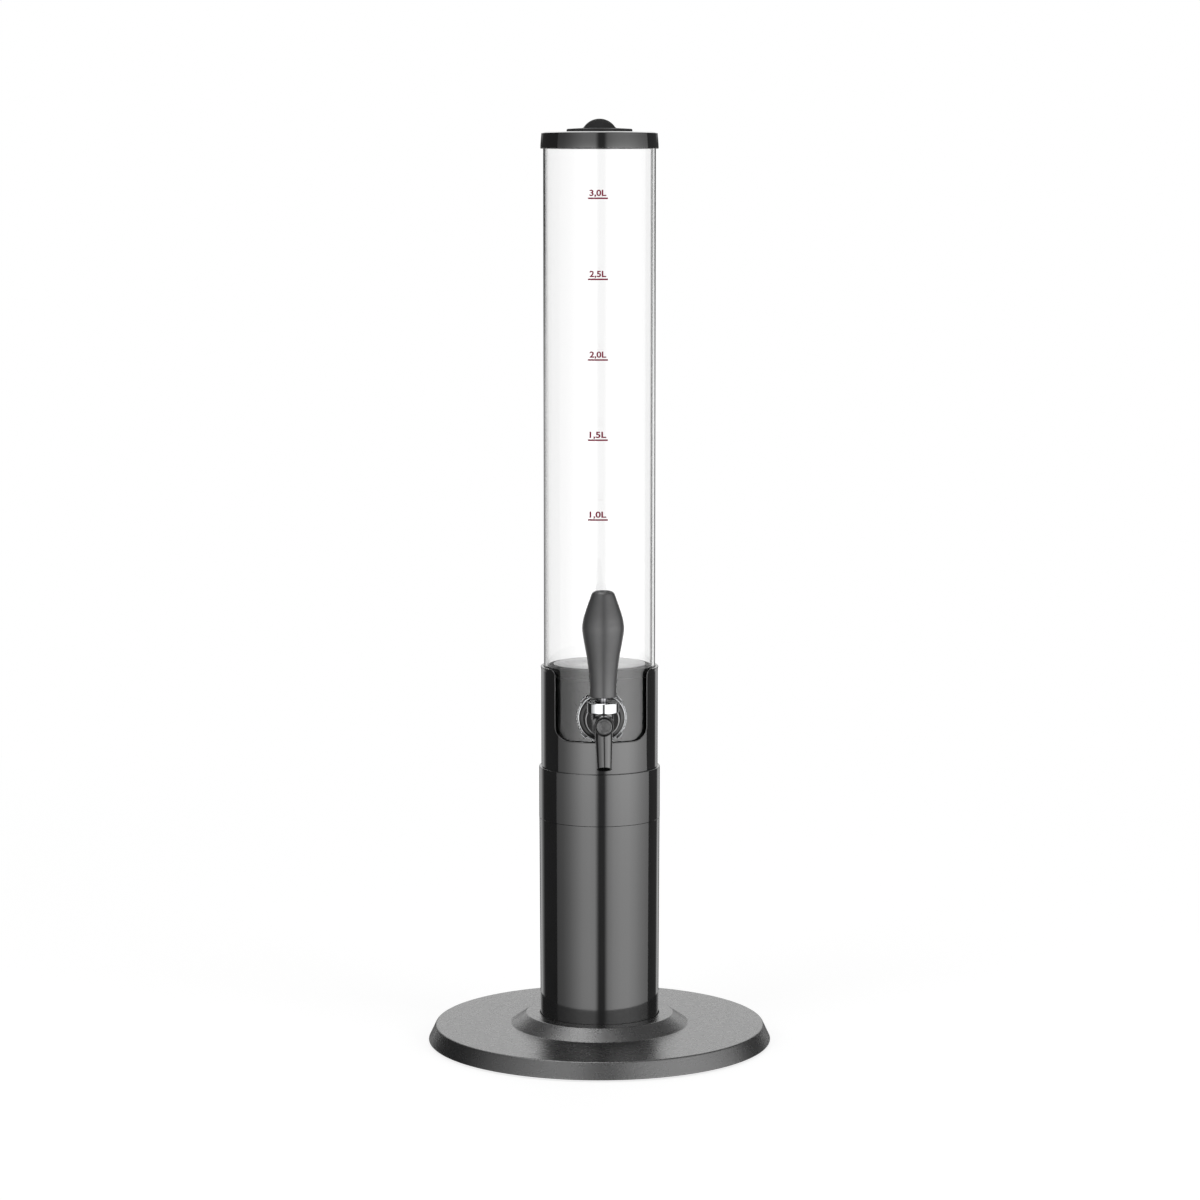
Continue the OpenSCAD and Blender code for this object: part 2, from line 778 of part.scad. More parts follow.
module bonnet() {
    color(bright_metal) difference() {
        translate([0, -u_lever, 0]) revolve([
            [neck_r + thread_gap, z_bonnet - bonnet_h, 0], [bonnet_r, z_bonnet - bonnet_h, bonnet_edge],
            [bonnet_r, z_bonnet, bonnet_round], [0, z_bonnet, 0],
            [0, z_bonnet_under, 0], [neck_r + thread_gap, z_bonnet_under, 0]]);
        at_pivot() {
            sphere(r = ball_r + ball_gap);
            for (run = [0, slot_run]) translate([0, -run, 0])
                cylinder(r = stem_r + slot_gap, h = washer_high + bonnet_t + over);
            translate([-stem_r - slot_gap, -slot_run, 0])
                cube([2 * (stem_r + slot_gap), slot_run, washer_high + bonnet_t + over]);
        }
    }
}

module ball_seat() {
    color(seal_white) at_pivot() difference() {
        pipe(ball_r - bite, neck_bore_r - thread_gap, -seat_low, -seat_high);
        sphere(r = ball_r + ball_gap);
    }
}

module friction_washer() {
    swing_r = stem_r + slot_gap + washer_high * slot_run / (washer_high + bonnet_t);
    color(seal_white) at_pivot() difference() {
        pipe(swing_r, neck_bore_r - thread_gap, washer_low, washer_high);
        sphere(r = ball_r + ball_gap);
    }
}

module lever_stem() {
    color(bright_metal) at_pivot() union() {
        sphere(r = ball_r);
        cylinder(r = stem_r, h = z_handle - z_pivot);
        cylinder(r = stem_r - stem_thread, h = z_handle - z_pivot + thread_len);
        mirror([0, 0, 1]) translate([0, 0, arm_start])
            cylinder(r1 = arm_root_r, r2 = tip_r, h = pivot_rise - arm_start);
        translate([0, 0, -pivot_rise]) sphere(r = tip_r);
    }
}

module tap_handle() {
    knots = [for (share = handle_shares) [handle_r * share.y, handle_h * share.x]];
    last = len(knots) - 1;
    curve = [for (i = [0 : last - 1], step = [1 : spline_steps])
        smooth(knots[max(i - 1, 0)], knots[i], knots[i + 1], knots[min(i + 2, last)], step / spline_steps)];
    color(grey_satin) translate([0, -u_lever, z_handle]) difference() {
        revolve(concat([[0, 0, 0], [knots[0].x, 0, handle_base_round]],
                       [for (p = curve) [p.x, p.y, 0]],
                       [[handle_r * handle_top_share, handle_h, handle_top_round], [0, handle_h, 0]]));
        translate([0, 0, -over]) cylinder(r = insert_r + insert_gap, h = insert_len + insert_gap + over);
    }
}

module handle_insert() {
    band = insert_len / 5;
    color(brass_yellow) translate([0, -u_lever, z_handle]) difference() {
        pipe(stem_r + insert_gap, insert_r, 0, insert_len);
        for (low = [band, 3 * band]) pipe(insert_r - insert_groove, insert_r + over, low, low + band);
    }
}

module valve_shaft() {
    fin_r = seat_bore_r - fin_gap;
    u_fins = u_seat + shoulder_t;
    pocket = arm_root_r + pocket_gap;
    slot_half = tip_r + tip_gap;
    rod_end = u_front - 2 * plug_spigot - guide_spare;
    color(seal_white) difference() {
        union() {
            at_tap() {
                revolve([[0, u_seat - washer_t + nose_short, 0], [nose_r, u_seat - washer_t + nose_short, 0],
                         [nose_r, u_seat, 0], [shoulder_r, u_seat, 0], [shoulder_r, u_fins, 0],
                         [rod_r, u_fins, 0], [rod_r, rod_end, bite], [0, rod_end, 0]]);
                intersection() {
                    translate([0, 0, u_fins - bite]) cylinder(r = fin_r, h = fin_len + bite);
                    for (angle = [0, 90]) rotate([0, 0, fin_turn + angle])
                        translate([-fin_r - over, -fin_t / 2, u_fins - bite])
                            cube([2 * (fin_r + over), fin_t, fin_len + bite]);
                }
                translate([0, 0, u_lever - block_half]) cylinder(r = block_r, h = 2 * block_half);
            }
        }
        at_lever() translate([-pocket, 0, 0]) rotate([90, 0, 90]) linear_extrude(height = 2 * pocket)
            polygon([[-slot_half, -slot_half], [slot_half, -slot_half], [slot_half, 0],
                     [pocket_mouth, block_r], [pocket_mouth, block_r + over],
                     [-pocket_mouth, block_r + over], [-pocket_mouth, block_r], [-slot_half, 0]]);
        at_tap() translate([0, 0, u_seat - washer_t])
            cylinder(r = valve_screw_r + insert_gap, h = valve_screw_len);
    }
}

module valve_washer() {
    color(rubber_black) at_tap() pipe(nose_r + nose_gap, washer_r, u_seat - washer_t, u_seat);
}

module valve_screw() {
    color(steel_grey) at_tap() translate([0, 0, u_seat - washer_t]) mirror([0, 0, 1])
        screw(valve_screw_len - screw_tip, valve_screw_r, valve_head_r, valve_head_h);
}

module lid_cap() {
    color(black_gloss) revolve([
        [fill_r, z_tube, 0], [locate_r - locate_wall, z_tube, 0],
        [locate_r - locate_wall, z_tube - locate_h, 0], [locate_r, z_tube - locate_h, bite],
        [locate_r, z_tube, 0], [lid_in, z_tube, 0], [lid_in, z_tube - lid_skirt, 0],
        [lid_r, z_tube - lid_skirt, bite], [lid_r - lid_slope, z_lid, lid_round], [fill_r, z_lid, bite]]);
}

// Half of the round grip's foot: the fillet between the disc and the grip's edge
module grip_foot() {
    top = disc_edge_h + disc_dome;
    centre_h = top + grip_fillet + grip_sink;
    centre_x = sqrt(pow(grip_r + grip_fillet, 2) - pow(centre_h, 2));
    lean = atan2(centre_h, centre_x);
    rotate([90, 0, 0]) translate([0, 0, grip_round - grip_t / 2])
        linear_extrude(height = grip_t - 2 * grip_round) polygon(concat(
            [[0, top - bite], [centre_x, top - bite]],
            arc([centre_x, top + grip_fillet], grip_fillet, full_turn - 90, half_turn + lean),
            [[0, top + grip_fillet]]));
}

module lid_plug() {
    top = disc_edge_h + disc_dome;
    color(black_gloss) translate([0, 0, z_lid]) difference() {
        union() {
            revolve([
                [0, 0, 0], [disc_r, 0, disc_under_round], [disc_r, disc_edge_h, disc_round],
                [grip_r, top, 0], [0, top, 0]]);
            translate([0, 0, -plug_depth]) cylinder(r = plug_r, h = plug_depth + bite);
            intersection() {
                translate([0, 0, -grip_sink]) rotate([90, 0, 0]) revolve([
                    [0, -grip_t / 2, 0], [grip_r, -grip_t / 2, grip_round],
                    [grip_r, grip_t / 2, grip_round], [0, grip_t / 2, 0]]);
                translate([-grip_r, -grip_t, bite]) cube([2 * grip_r, 2 * grip_t, grip_r]);
            }
            for (side = [0, 1]) mirror([side, 0, 0]) grip_foot();
        }
        translate([0, 0, -plug_depth - over])
            cylinder(r = plug_r - plug_wall, h = plug_depth + disc_edge_h - plug_floor_t + over);
        pipe(plug_r - plug_groove_d, plug_r + over, -(lid_t + plug_groove_w) / 2, (plug_groove_w - lid_t) / 2);
    }
}

module plug_seal() {
    color(rubber_black) translate([0, 0, z_lid - lid_t / 2])
        rotate_extrude() translate([plug_r - plug_groove_d + plug_seal_r, 0]) circle(r = plug_seal_r);
}

base_shell();
ballast_ring();
bottom_cover();
cover_screws();
rubber_feet();
column();
column_screws();
tank_holder();
holder_screws();
seat_ring();
tank_tube();
tank_cup();
cup_seals();
saddle_gasket();
flange_ring();
tap_flange();
tap_shank();
shank_gasket();
shank_nut();
tap_body();
body_plug();
bonnet();
ball_seat();
friction_washer();
lever_stem();
tap_handle();
handle_insert();
valve_shaft();
valve_washer();
valve_screw();
lid_cap();
lid_plug();
plug_seal();
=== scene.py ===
"""Beer tower dispenser: finishes, finer pieces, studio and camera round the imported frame.

Sizes of pieces and finishes are millimetres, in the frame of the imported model: Z 0 is the
table, the tank's axis is the Z axis and the tap points to -Y. Meshes and studio are metres.
"""

import logging
import math
from dataclasses import dataclass, field
from enum import Enum

import bmesh
import bpy
from mathutils import Matrix, Vector

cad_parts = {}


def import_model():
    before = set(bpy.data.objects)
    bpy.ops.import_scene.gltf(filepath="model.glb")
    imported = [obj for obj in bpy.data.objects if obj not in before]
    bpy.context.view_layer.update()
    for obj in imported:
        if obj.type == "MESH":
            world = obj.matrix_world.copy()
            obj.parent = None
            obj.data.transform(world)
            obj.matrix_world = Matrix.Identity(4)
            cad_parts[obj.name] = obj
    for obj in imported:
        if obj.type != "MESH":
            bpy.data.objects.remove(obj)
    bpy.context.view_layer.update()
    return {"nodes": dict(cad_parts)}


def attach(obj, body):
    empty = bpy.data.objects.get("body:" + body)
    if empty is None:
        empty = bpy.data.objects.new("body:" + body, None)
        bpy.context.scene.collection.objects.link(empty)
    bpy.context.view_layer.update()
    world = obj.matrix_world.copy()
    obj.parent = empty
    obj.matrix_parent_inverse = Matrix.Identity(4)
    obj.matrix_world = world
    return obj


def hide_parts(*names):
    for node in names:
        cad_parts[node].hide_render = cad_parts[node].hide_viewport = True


LOG = logging.getLogger("beer_tower")
MM = 0.001
FULL_TURN = 2 * math.pi
UPRIGHT = Matrix.Identity(4)

Pair = tuple[float, float]
Colour = tuple[float, float, float]
Corner = tuple[float, float, float]
Outline = list[Pair]
Knots = tuple[Pair, ...]
Node = bpy.types.Node
Socket = bpy.types.NodeSocket


class Slot(Enum):
    """Names of material slots, passed with the finer pieces but not used."""

    BLACK_GLOSS = "black_gloss"
    RUBBER = "rubber"
    CLEAR_ACRYLIC = "clear_acrylic"
    CHROME = "chrome"
    GREY_SATIN = "grey_satin"


class Body(Enum):
    """Bodies that the finer pieces move with."""

    STAND = "stand"
    TANK = "tank"
    LEVER = "lever"
    LID = "lid"


def grey(value: float) -> Colour:
    """The neutral colour of that level."""
    return (value, value, value)


def radians(edges: Pair) -> Pair:
    """Both ends of a range in degrees, as radians."""
    return (math.radians(edges[0]), math.radians(edges[1]))


def spread(start: float, end: float, steps: int) -> list[float]:
    """Even steps from start to end, both included."""
    return [start + (end - start) * step / steps for step in range(steps + 1)]


def turns(count: int) -> list[float]:
    """Even angles round a full turn."""
    return [FULL_TURN * step / count for step in range(count)]


def within_half(angle: float) -> float:
    """The same angle, from minus to plus half a turn."""
    return (angle + 3 * math.pi) % FULL_TURN - math.pi


def add_object(name: str, data: bpy.types.ID) -> bpy.types.Object:
    """A new object with that data, linked to the scene."""
    made = bpy.data.objects.new(name, data)
    bpy.context.scene.collection.objects.link(made)
    return made


def add_mesh(name: str, shape: bmesh.types.BMesh) -> bpy.types.Object:
    """A new object with the mesh of that shape, which is freed."""
    data = bpy.data.meshes.new(name)
    shape.to_mesh(data)
    shape.free()
    return add_object(name, data)


# Finishes


class NodeMaker:
    """Short ways to add and join the nodes of a tree."""

    def __init__(self, tree: bpy.types.NodeTree) -> None:
        """Starts with an empty tree, of a material or of the world."""
        self.tree = tree
        tree.nodes.clear()

    @classmethod
    def material(cls, name: str) -> tuple[bpy.types.Material, "NodeMaker"]:
        """A new material and the maker of its nodes."""
        made = bpy.data.materials.new(name)
        made.use_nodes = True
        return made, cls(made.node_tree)

    def add(self, kind: str, **settings: object) -> Node:
        """Adds a node.

        Args:
            kind: The node's type name, without the ShaderNode prefix.
            settings: Attributes of the node; a name that is a socket sets its value.

        Returns:
            The new node.
        """
        node = self.tree.nodes.new("ShaderNode" + kind)
        for name, value in settings.items():
            if hasattr(node, name):
                setattr(node, name, value)
            else:
                socket = name.replace("_", " ").title().replace("Ior", "IOR")
                node.inputs[socket].default_value = value
        return node

    def output(self, shader: Node, kind: str = "Material") -> Node:
        """Adds the tree's output node, with the shader as its surface."""
        node = self.add("Output" + kind)
        self.link(shader.outputs[0], node.inputs["Surface"])
        return node

    def link(self, start: Socket, end: Socket) -> None:
        """Joins an output to an input."""
        self.tree.links.new(start, end)

    def feed(self, value: object, end: Socket) -> None:
        """Joins a socket to an input, or gives the input a number."""
        if isinstance(value, Socket):
            self.link(value, end)
        else:
            end.default_value = value

    def math(self, operation: str, a: object, b: object = 0.0) -> Socket:
        """Adds a Math node, whose operands are sockets or numbers."""
        node = self.add("Math", operation=operation)
        self.feed(a, node.inputs[0])
        self.feed(b, node.inputs[1])
        return node.outputs[0]

    def ramp(self, value: Socket, edges: Pair, results: Pair = (0, 1),
             smooth: bool = False) -> Socket:
        """Maps a value from the edges' range to that of the results, clamped."""
        node = self.add("MapRange", interpolation_type="SMOOTHSTEP" if smooth else "LINEAR")
        self.link(value, node.inputs[0])
        for index, number in enumerate((*edges, *results), 1):
            node.inputs[index].default_value = number
        return node.outputs[0]

    def mix(self, share: Socket, first: object, second: object) -> Socket:
        """Mixes two values, each a socket or a number, by the share of the second."""
        node = self.add("Mix")
        self.link(share, node.inputs["Factor"])
        self.feed(first, node.inputs["A"])
        self.feed(second, node.inputs["B"])
        return node.outputs[0]

    def between(self, share: Socket, first: Colour, second: Colour) -> Socket:
        """Mixes two colours, by the share of the second."""
        node = self.add("Mix", data_type="RGBA")
        node.inputs["A"].default_value = (*first, 1)
        node.inputs["B"].default_value = (*second, 1)
        self.link(share, node.inputs["Factor"])
        return next(out for out in node.outputs if out.type == "RGBA")

    def noise(self, cell: float, detail: float, stretch: Corner) -> Socket:
        """Noise in the frame's own coordinates.

        Args:
            cell: Size of its cells in millimetres.
            detail: Octaves.
            stretch: Scale of the coordinates along X, Y and Z.

        Returns:
            The noise, from about 0.25 to 0.75.
        """
        place = self.add("TexCoord")
        sized = self.add("Mapping")
        sized.inputs["Scale"].default_value = stretch
        cells = self.add("TexNoise", scale=1 / (cell * MM), detail=detail)
        self.link(place.outputs["Object"], sized.inputs["Vector"])
        self.link(sized.outputs["Vector"], cells.inputs["Vector"])
        return cells.outputs["Fac"]


@dataclass(frozen=True)
class Finish:
    """A surface finish: colour and roughness that vary a little, and a fine relief."""

    name: str
    low: Colour
    high: Colour
    rough_low: float
    rough_high: float
    cell: float
    grain: float
    grain_depth: float
    grain_strength: float
    metallic: float = 0.0
    ior: float = 1.5
    specular: float = 0.5
    stretch: Corner = (1, 1, 1)
    colour_edges: Pair = (0.35, 0.65)
    rough_edges: Pair = (0.3, 0.7)
    cell_detail: float = 3.0
    grain_detail: float = 2.0

    def material(self) -> bpy.types.Material:
        """The finish as a material, made once."""
        found = bpy.data.materials.get(self.name)
        if found:
            return found
        made, nodes = NodeMaker.material(self.name)
        shader = nodes.add("BsdfPrincipled", metallic=self.metallic, ior=self.ior,
                           specular_ior_level=self.specular)
        output = nodes.output(shader)
        self.dress(nodes, shader)
        self.extend(nodes, output)
        return made

    def dress(self, nodes: NodeMaker, shader: Node) -> None:
        """Drives colour, roughness and relief of the shader.

        Args:
            nodes: The material's node maker.
            shader: Its Principled node.
        """
        patches = nodes.noise(self.cell, self.cell_detail, self.stretch)
        colour = nodes.between(nodes.ramp(patches, self.colour_edges), self.low, self.high)
        nodes.link(colour, shader.inputs["Base Color"])
        rough = nodes.ramp(patches, self.rough_edges, (self.rough_high, self.rough_low))
        nodes.link(rough, shader.inputs["Roughness"])
        self.relief(nodes, shader, nodes.noise(self.grain, self.grain_detail, self.stretch))

    def relief(self, nodes: NodeMaker, shader: Node, height: Socket) -> None:
        """Gives the shader a fine relief of that height."""
        bump = nodes.add("Bump", strength=self.grain_strength, distance=self.grain_depth * MM)
        nodes.link(height, bump.inputs["Height"])
        nodes.link(bump.outputs["Normal"], shader.inputs["Normal"])

    def extend(self, nodes: NodeMaker, output: Node) -> None:
        """What a finish adds of its own: nothing here."""


@dataclass(frozen=True)
class ClearFinish(Finish):
    """Clear acrylic whose colour carries painted shade: dark where its outer wall is seen edge-on,
    less so at its inner wall, and by different amounts on the left and right sides.
    """

    body_grey: float = 0.5
    absorption: float = 14.0
    outer_left: Pair = (0.58, 0.76)
    outer_right: Pair = (0.74, 0.82)
    inner_edge: Pair = (0.68, 0.76)
    inner_left: float = 0.1
    inner_right: float = 1.0
    walls: Pair = (48.0, 49.5)
    sides: Pair = (-20.0, 20.0)

    def dress(self, nodes: NodeMaker, shader: Node) -> None:
        """Paints shade into the colour by the angle of view, the wall and the side, and drives the
        drawn tube's faint streaks.

        Args:
            nodes: The material's node maker.
            shader: Its Principled node.
        """
        shader.inputs["Transmission Weight"].default_value = 1
        facing = nodes.add("LayerWeight").outputs["Facing"]
        place = nodes.add("SeparateXYZ")
        nodes.link(nodes.add("TexCoord").outputs["Object"], place.inputs[0])
        across, along = place.outputs["X"], place.outputs["Y"]
        squares = [nodes.math("MULTIPLY", axis, axis) for axis in (across, along)]
        radius = nodes.math("SQRT", nodes.math("ADD", *squares))
        outer = nodes.ramp(radius, (self.walls[0] * MM, self.walls[1] * MM))
        side = nodes.ramp(across, (self.sides[0] * MM, self.sides[1] * MM))
        # Painted shade: the colour darkens where a wall is seen edge-on, by different amounts on
        # the left and right sides.
        outer_share = nodes.mix(side, nodes.ramp(facing, self.outer_left),
                                nodes.ramp(facing, self.outer_right))
        inner_share = nodes.math("MULTIPLY", nodes.ramp(facing, self.inner_edge),
                                 nodes.mix(side, self.inner_left, self.inner_right))
        edge_shade = nodes.between(nodes.mix(outer, inner_share, outer_share), self.low, self.high)
        nodes.link(edge_shade, shader.inputs["Base Color"])
        streaks = nodes.noise(self.grain, self.grain_detail, self.stretch)
        rough = nodes.ramp(streaks, self.rough_edges, (self.rough_low, self.rough_high))
        nodes.link(rough, shader.inputs["Roughness"])
        self.relief(nodes, shader, streaks)

    def extend(self, nodes: NodeMaker, output: Node) -> None:
        """Adds the body of the acrylic, which takes a little light on long paths."""
        inside = nodes.add("VolumeAbsorption", density=self.absorption)
        inside.inputs["Color"].default_value = (*grey(self.body_grey), 1)
        nodes.link(inside.outputs[0], output.inputs["Volume"])


BLACK_ABS = Finish(
    "matt_black_grain", grey(0.015), (0.0175, 0.0175, 0.018), 0.265, 0.285,
    9, 0.9, 0.22, 0.8, specular=0.7)
BLACK_GLOSS = Finish(
    "polished_black", grey(0.0165), (0.0195, 0.0195, 0.02), 0.05, 0.075, 45, 30, 0.05, 0.03)
PLATE_BLACK = Finish(
    "plate_black", grey(0.013), (0.016, 0.016, 0.0165), 0.15, 0.19, 30, 8, 0.03, 0.04, specular=0.6)
CUP_BLACK = Finish(
    "dull_black", grey(0.006), grey(0.009), 0.45, 0.55, 25, 2, 0.02, 0.03, specular=0.06)
TAP_BLACK = Finish(
    "tap_black", grey(0.013), (0.017, 0.017, 0.0175), 0.08, 0.12, 12, 5, 0.03, 0.05, specular=1.0)
RUBBER = Finish(
    "black_rubber", grey(0.012), grey(0.02), 0.6, 0.75, 6, 0.4, 0.05, 0.25, specular=0.3)
STEEL = Finish(
    "plain_steel", (0.5, 0.51, 0.52), (0.6, 0.61, 0.62), 0.26, 0.36,
    8, 0.5, 0.02, 0.15, metallic=1, stretch=(1, 1, 3))
DARK_STEEL = Finish(
    "darkened_steel", (0.09, 0.09, 0.095), (0.13, 0.13, 0.135), 0.25, 0.35,
    6, 0.4, 0.01, 0.1, metallic=1)
PLUG_BLACK = Finish(
    "satin_black", grey(0.031), (0.035, 0.035, 0.036), 0.45, 0.55,
    10, 0.4, 0.04, 0.15, specular=0.06)
TAP_SATIN = Finish(
    "satin_tap_black", grey(0.066), (0.078, 0.078, 0.079), 0.24, 0.32, 6, 0.4, 0.02, 0.12)
# Its colour is set darker than polished chrome: painted shade.
CHROME = Finish(
    "bright_chrome", (0.34, 0.343, 0.347), (0.38, 0.384, 0.388), 0.04, 0.07,
    9, 6, 0.01, 0.03, metallic=1)
# A darker copy of the chrome for the tab ring: painted shade.
RING_CHROME = Finish(
    "shaded_chrome", (0.31, 0.313, 0.317), (0.36, 0.364, 0.368), 0.06, 0.1,
    5, 3, 0.01, 0.04, metallic=1)
ROSE_BLACK = Finish(
    "flange_black", grey(0.01), (0.014, 0.014, 0.0145), 0.12, 0.18,
    9, 0.5, 0.02, 0.1, specular=0.25)
GREY_SATIN = Finish(
    "satin_dark_grey", (0.046, 0.046, 0.047), (0.054, 0.054, 0.055), 0.34, 0.4,
    14, 0.4, 0.03, 0.12, specular=0.4)
WHITE_SEAL = Finish(
    "white_acetal", (0.74, 0.74, 0.72), (0.8, 0.8, 0.78), 0.35, 0.45, 5, 0.6, 0.02, 0.1)
BRASS = Finish(
    "plain_brass", (0.62, 0.46, 0.2), (0.72, 0.56, 0.27), 0.22, 0.32, 4, 0.5, 0.01, 0.1, metallic=1)
# Clear at low, and black at high for the painted shade where a wall is seen edge-on.
ACRYLIC = ClearFinish(
    "drawn_acrylic", grey(0.995), grey(0.004), 0.0, 0.01,
    20, 9, 0.02, 0.04, ior=1.42, stretch=(1, 1, 0.02))
INK = Finish(
    "crimson_ink", (0.2, 0.005, 0.03), (0.24, 0.008, 0.038), 0.5, 0.6,
    1.5, 0.2, 0.01, 0.2, specular=0.03)


# Meshes


class Mesher:
    """Builds closed meshes from outlines in millimetres, placed in metres."""

    segments = 256
    sharp = math.radians(32)
    axis_dot = 0.05
    widest_face = 3 * FULL_TURN / segments
    least_r = 1e-6

    @staticmethod
    def rounded(path: list[Corner], steps: int) -> Outline:
        """Rounds the corners of a closed outline.

        Args:
            path: Corners as (x, y, rounding radius).
            steps: Steps in each rounded corner.

        Returns:
            The points of the outline.
        """
        points: Outline = []
        for index, (x, y, radius) in enumerate(path):
            here = Vector((x, y))
            if radius <= 0:
                points.append((x, y))
                continue
            before = Vector(path[index - 1][:2])
            after = Vector(path[(index + 1) % len(path)][:2])
            one, two = (before - here).normalized(), (after - here).normalized()
            half = one.angle(two) / 2
            centre = here + (one + two).normalized() * radius / math.sin(half)
            start = here + one * radius / math.tan(half) - centre
            end = here + two * radius / math.tan(half) - centre
            first = math.atan2(start.y, start.x)
            turn = within_half(math.atan2(end.y, end.x) - first)
            for angle in spread(first, first + turn, steps):
                points.append((centre.x + radius * math.cos(angle),
                               centre.y + radius * math.sin(angle)))
        return points

    @staticmethod
    def smooth_curve(knots: Outline, steps: int) -> Outline:
        """A smooth curve through the knots.

        Args:
            knots: Points of the curve.
            steps: Steps between two knots.

        Returns:
            Its points, without the first knot.
        """
        last = len(knots) - 1
        points: Outline = []
        for index in range(last):
            a, b = Vector(knots[max(index - 1, 0)]), Vector(knots[index])
            c, d = Vector(knots[index + 1]), Vector(knots[min(index + 2, last)])
            for t in spread(0, 1, steps)[1:]:
                at = (2 * b + (c - a) * t + (2 * a - 5 * b + 4 * c - d) * t * t
                      + (3 * b - a - 3 * c + d) * t * t * t) / 2
                points.append((at.x, at.y))
        return points

    @classmethod
    def finish_mesh(cls, name: str, shape: bmesh.types.BMesh) -> bpy.types.Object:
        """Turns a bmesh in millimetres into a smooth-shaded object in metres.

        Args:
            name: The piece's name.
            shape: Its bmesh, which is freed.

        Returns:
            The new object, linked to the scene.
        """
        bmesh.ops.recalc_face_normals(shape, faces=shape.faces)
        bmesh.ops.scale(shape, vec=(MM, MM, MM), verts=shape.verts)
        made = add_mesh(name, shape)
        made.data.shade_smooth()
        made.data.set_sharp_from_angle(angle=cls.sharp)
        return made

    @classmethod
    def lathe(cls, name: str, outline: Outline, place: Matrix = UPRIGHT,
              segments: int = segments) -> bpy.types.Object:
        """A turned piece.

        Args:
            name: The piece's name.
            outline: Closed outline as (radius, height).
            place: Where its axis stands, in millimetres.
            segments: Faces round the axis.

        Returns:
            The new object.
        """
        shape = bmesh.new()
        rings = []
        for radius, height in outline:
            spots = ([Vector((0, 0, height))] if radius < cls.least_r else
                     [Vector((radius * math.cos(angle), radius * math.sin(angle), height))
                      for angle in turns(segments)])
            rings.append([shape.verts.new(place @ spot) for spot in spots])
        for ring, other in zip(rings, rings[1:] + rings[:1]):
            if len(ring) == len(other) == 1:
                continue
            for step in range(segments):
                after = (step + 1) % segments
                corners = [ring[step % len(ring)], ring[after % len(ring)],
                           other[after % len(other)], other[step % len(other)]]
                shape.faces.new(list(dict.fromkeys(corners)))
        return cls.finish_mesh(name, shape)

    @staticmethod
    def bridge(shape: bmesh.types.BMesh, rings: list[list[bmesh.types.BMVert]]) -> None:
        """Joins each ring of corners to the next, which has as many, with faces."""
        for first, second in zip(rings, rings[1:]):
            for step in range(len(first)):
                after = (step + 1) % len(first)
                shape.faces.new((first[step], first[after], second[after], second[step]))

    @classmethod
    def wrap(cls, name: str, sections: list[list[Vector]]) -> bpy.types.Object:
        """A closed ring through closed outlines with as many points each."""
        shape = bmesh.new()
        rings = [[shape.verts.new(point) for point in section] for section in sections]
        cls.bridge(shape, rings + rings[:1])
        return cls.finish_mesh(name, shape)

    @classmethod
    def sweep(cls, name: str, path: list[Vector], radius: float, sides: int) -> bpy.types.Object:
        """A round bead along an open path, closed at its ends.

        Args:
            name: The piece's name.
            path: Points of the path.
            radius: Radius of the bead.
            sides: Faces round the bead.

        Returns:
            The new object.
        """
        shape = bmesh.new()
        rings = []
        side = None
        for index, point in enumerate(path):
            ahead = path[min(index + 1, len(path) - 1)] - path[max(index - 1, 0)]
            ahead.normalize()
            side = side or ahead.orthogonal()
            side = (side - ahead * side.dot(ahead)).normalized()
            other = ahead.cross(side)
            rings.append([shape.verts.new(
                point + (side * math.cos(angle) + other * math.sin(angle)) * radius)
                for angle in turns(sides)])
        cls.bridge(shape, rings)
        shape.faces.new(rings[0])
        shape.faces.new(rings[-1])
        return cls.finish_mesh(name, shape)

    @classmethod
    def cut(cls, piece: bpy.types.Object, cutter: bpy.types.Object) -> None:
        """Cuts a piece turned round the Z axis, and keeps its round shading.

        Args:
            piece: The turned piece.
            cutter: What it loses, which is removed.
        """
        modifier = piece.modifiers.new("cut", "BOOLEAN")
        modifier.object = cutter
        modifier.solver = "EXACT"
        graph = bpy.context.evaluated_depsgraph_get()
        data = bpy.data.meshes.new_from_object(piece.evaluated_get(graph))
        piece.modifiers.clear()
        old = piece.data
        piece.data = data
        bpy.data.meshes.remove(old)
        bpy.data.objects.remove(cutter)
        cls.round_normals(data)

    @classmethod
    def round_normals(cls, data: bpy.types.Mesh) -> None:
        """Turns the normals of the faces round the Z axis with their corners.

        Args:
            data: The mesh, which then shades round.
        """
        normals = [Vector((0, 0, 1))] * len(data.loops)
        for face in data.polygons:
            spots = [data.vertices[vertex].co for vertex in face.vertices]
            centre = sum(spots, Vector()) / len(spots)
            middle = math.atan2(centre.y, centre.x)
            offsets = [within_half(math.atan2(spot.y, spot.x) - middle) for spot in spots]
            across = face.normal.y * math.cos(middle) - face.normal.x * math.sin(middle)
            turned = (abs(across) < cls.axis_dot
                      and max(offsets) - min(offsets) < cls.widest_face)
            for loop, offset in zip(face.loop_indices, offsets):
                turn = Matrix.Rotation(offset if turned else 0, 3, "Z")
                normals[loop] = (turn @ face.normal).normalized()
        data.normals_split_custom_set(normals)


def dress(piece: bpy.types.Object, finish: Finish, slot: Slot, body: Body,
          *replaced: str) -> None:
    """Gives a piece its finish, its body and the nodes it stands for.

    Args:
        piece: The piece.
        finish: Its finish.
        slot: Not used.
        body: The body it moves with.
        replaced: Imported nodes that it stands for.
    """
    piece.data.materials.clear()
    piece.data.materials.append(finish.material())
    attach(piece, body.value)
    if replaced:
        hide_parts(*replaced)
    LOG.info("%s: %d faces, %s, on %s", piece.name, len(piece.data.polygons), finish.name,
             body.value)


# Sub-assemblies


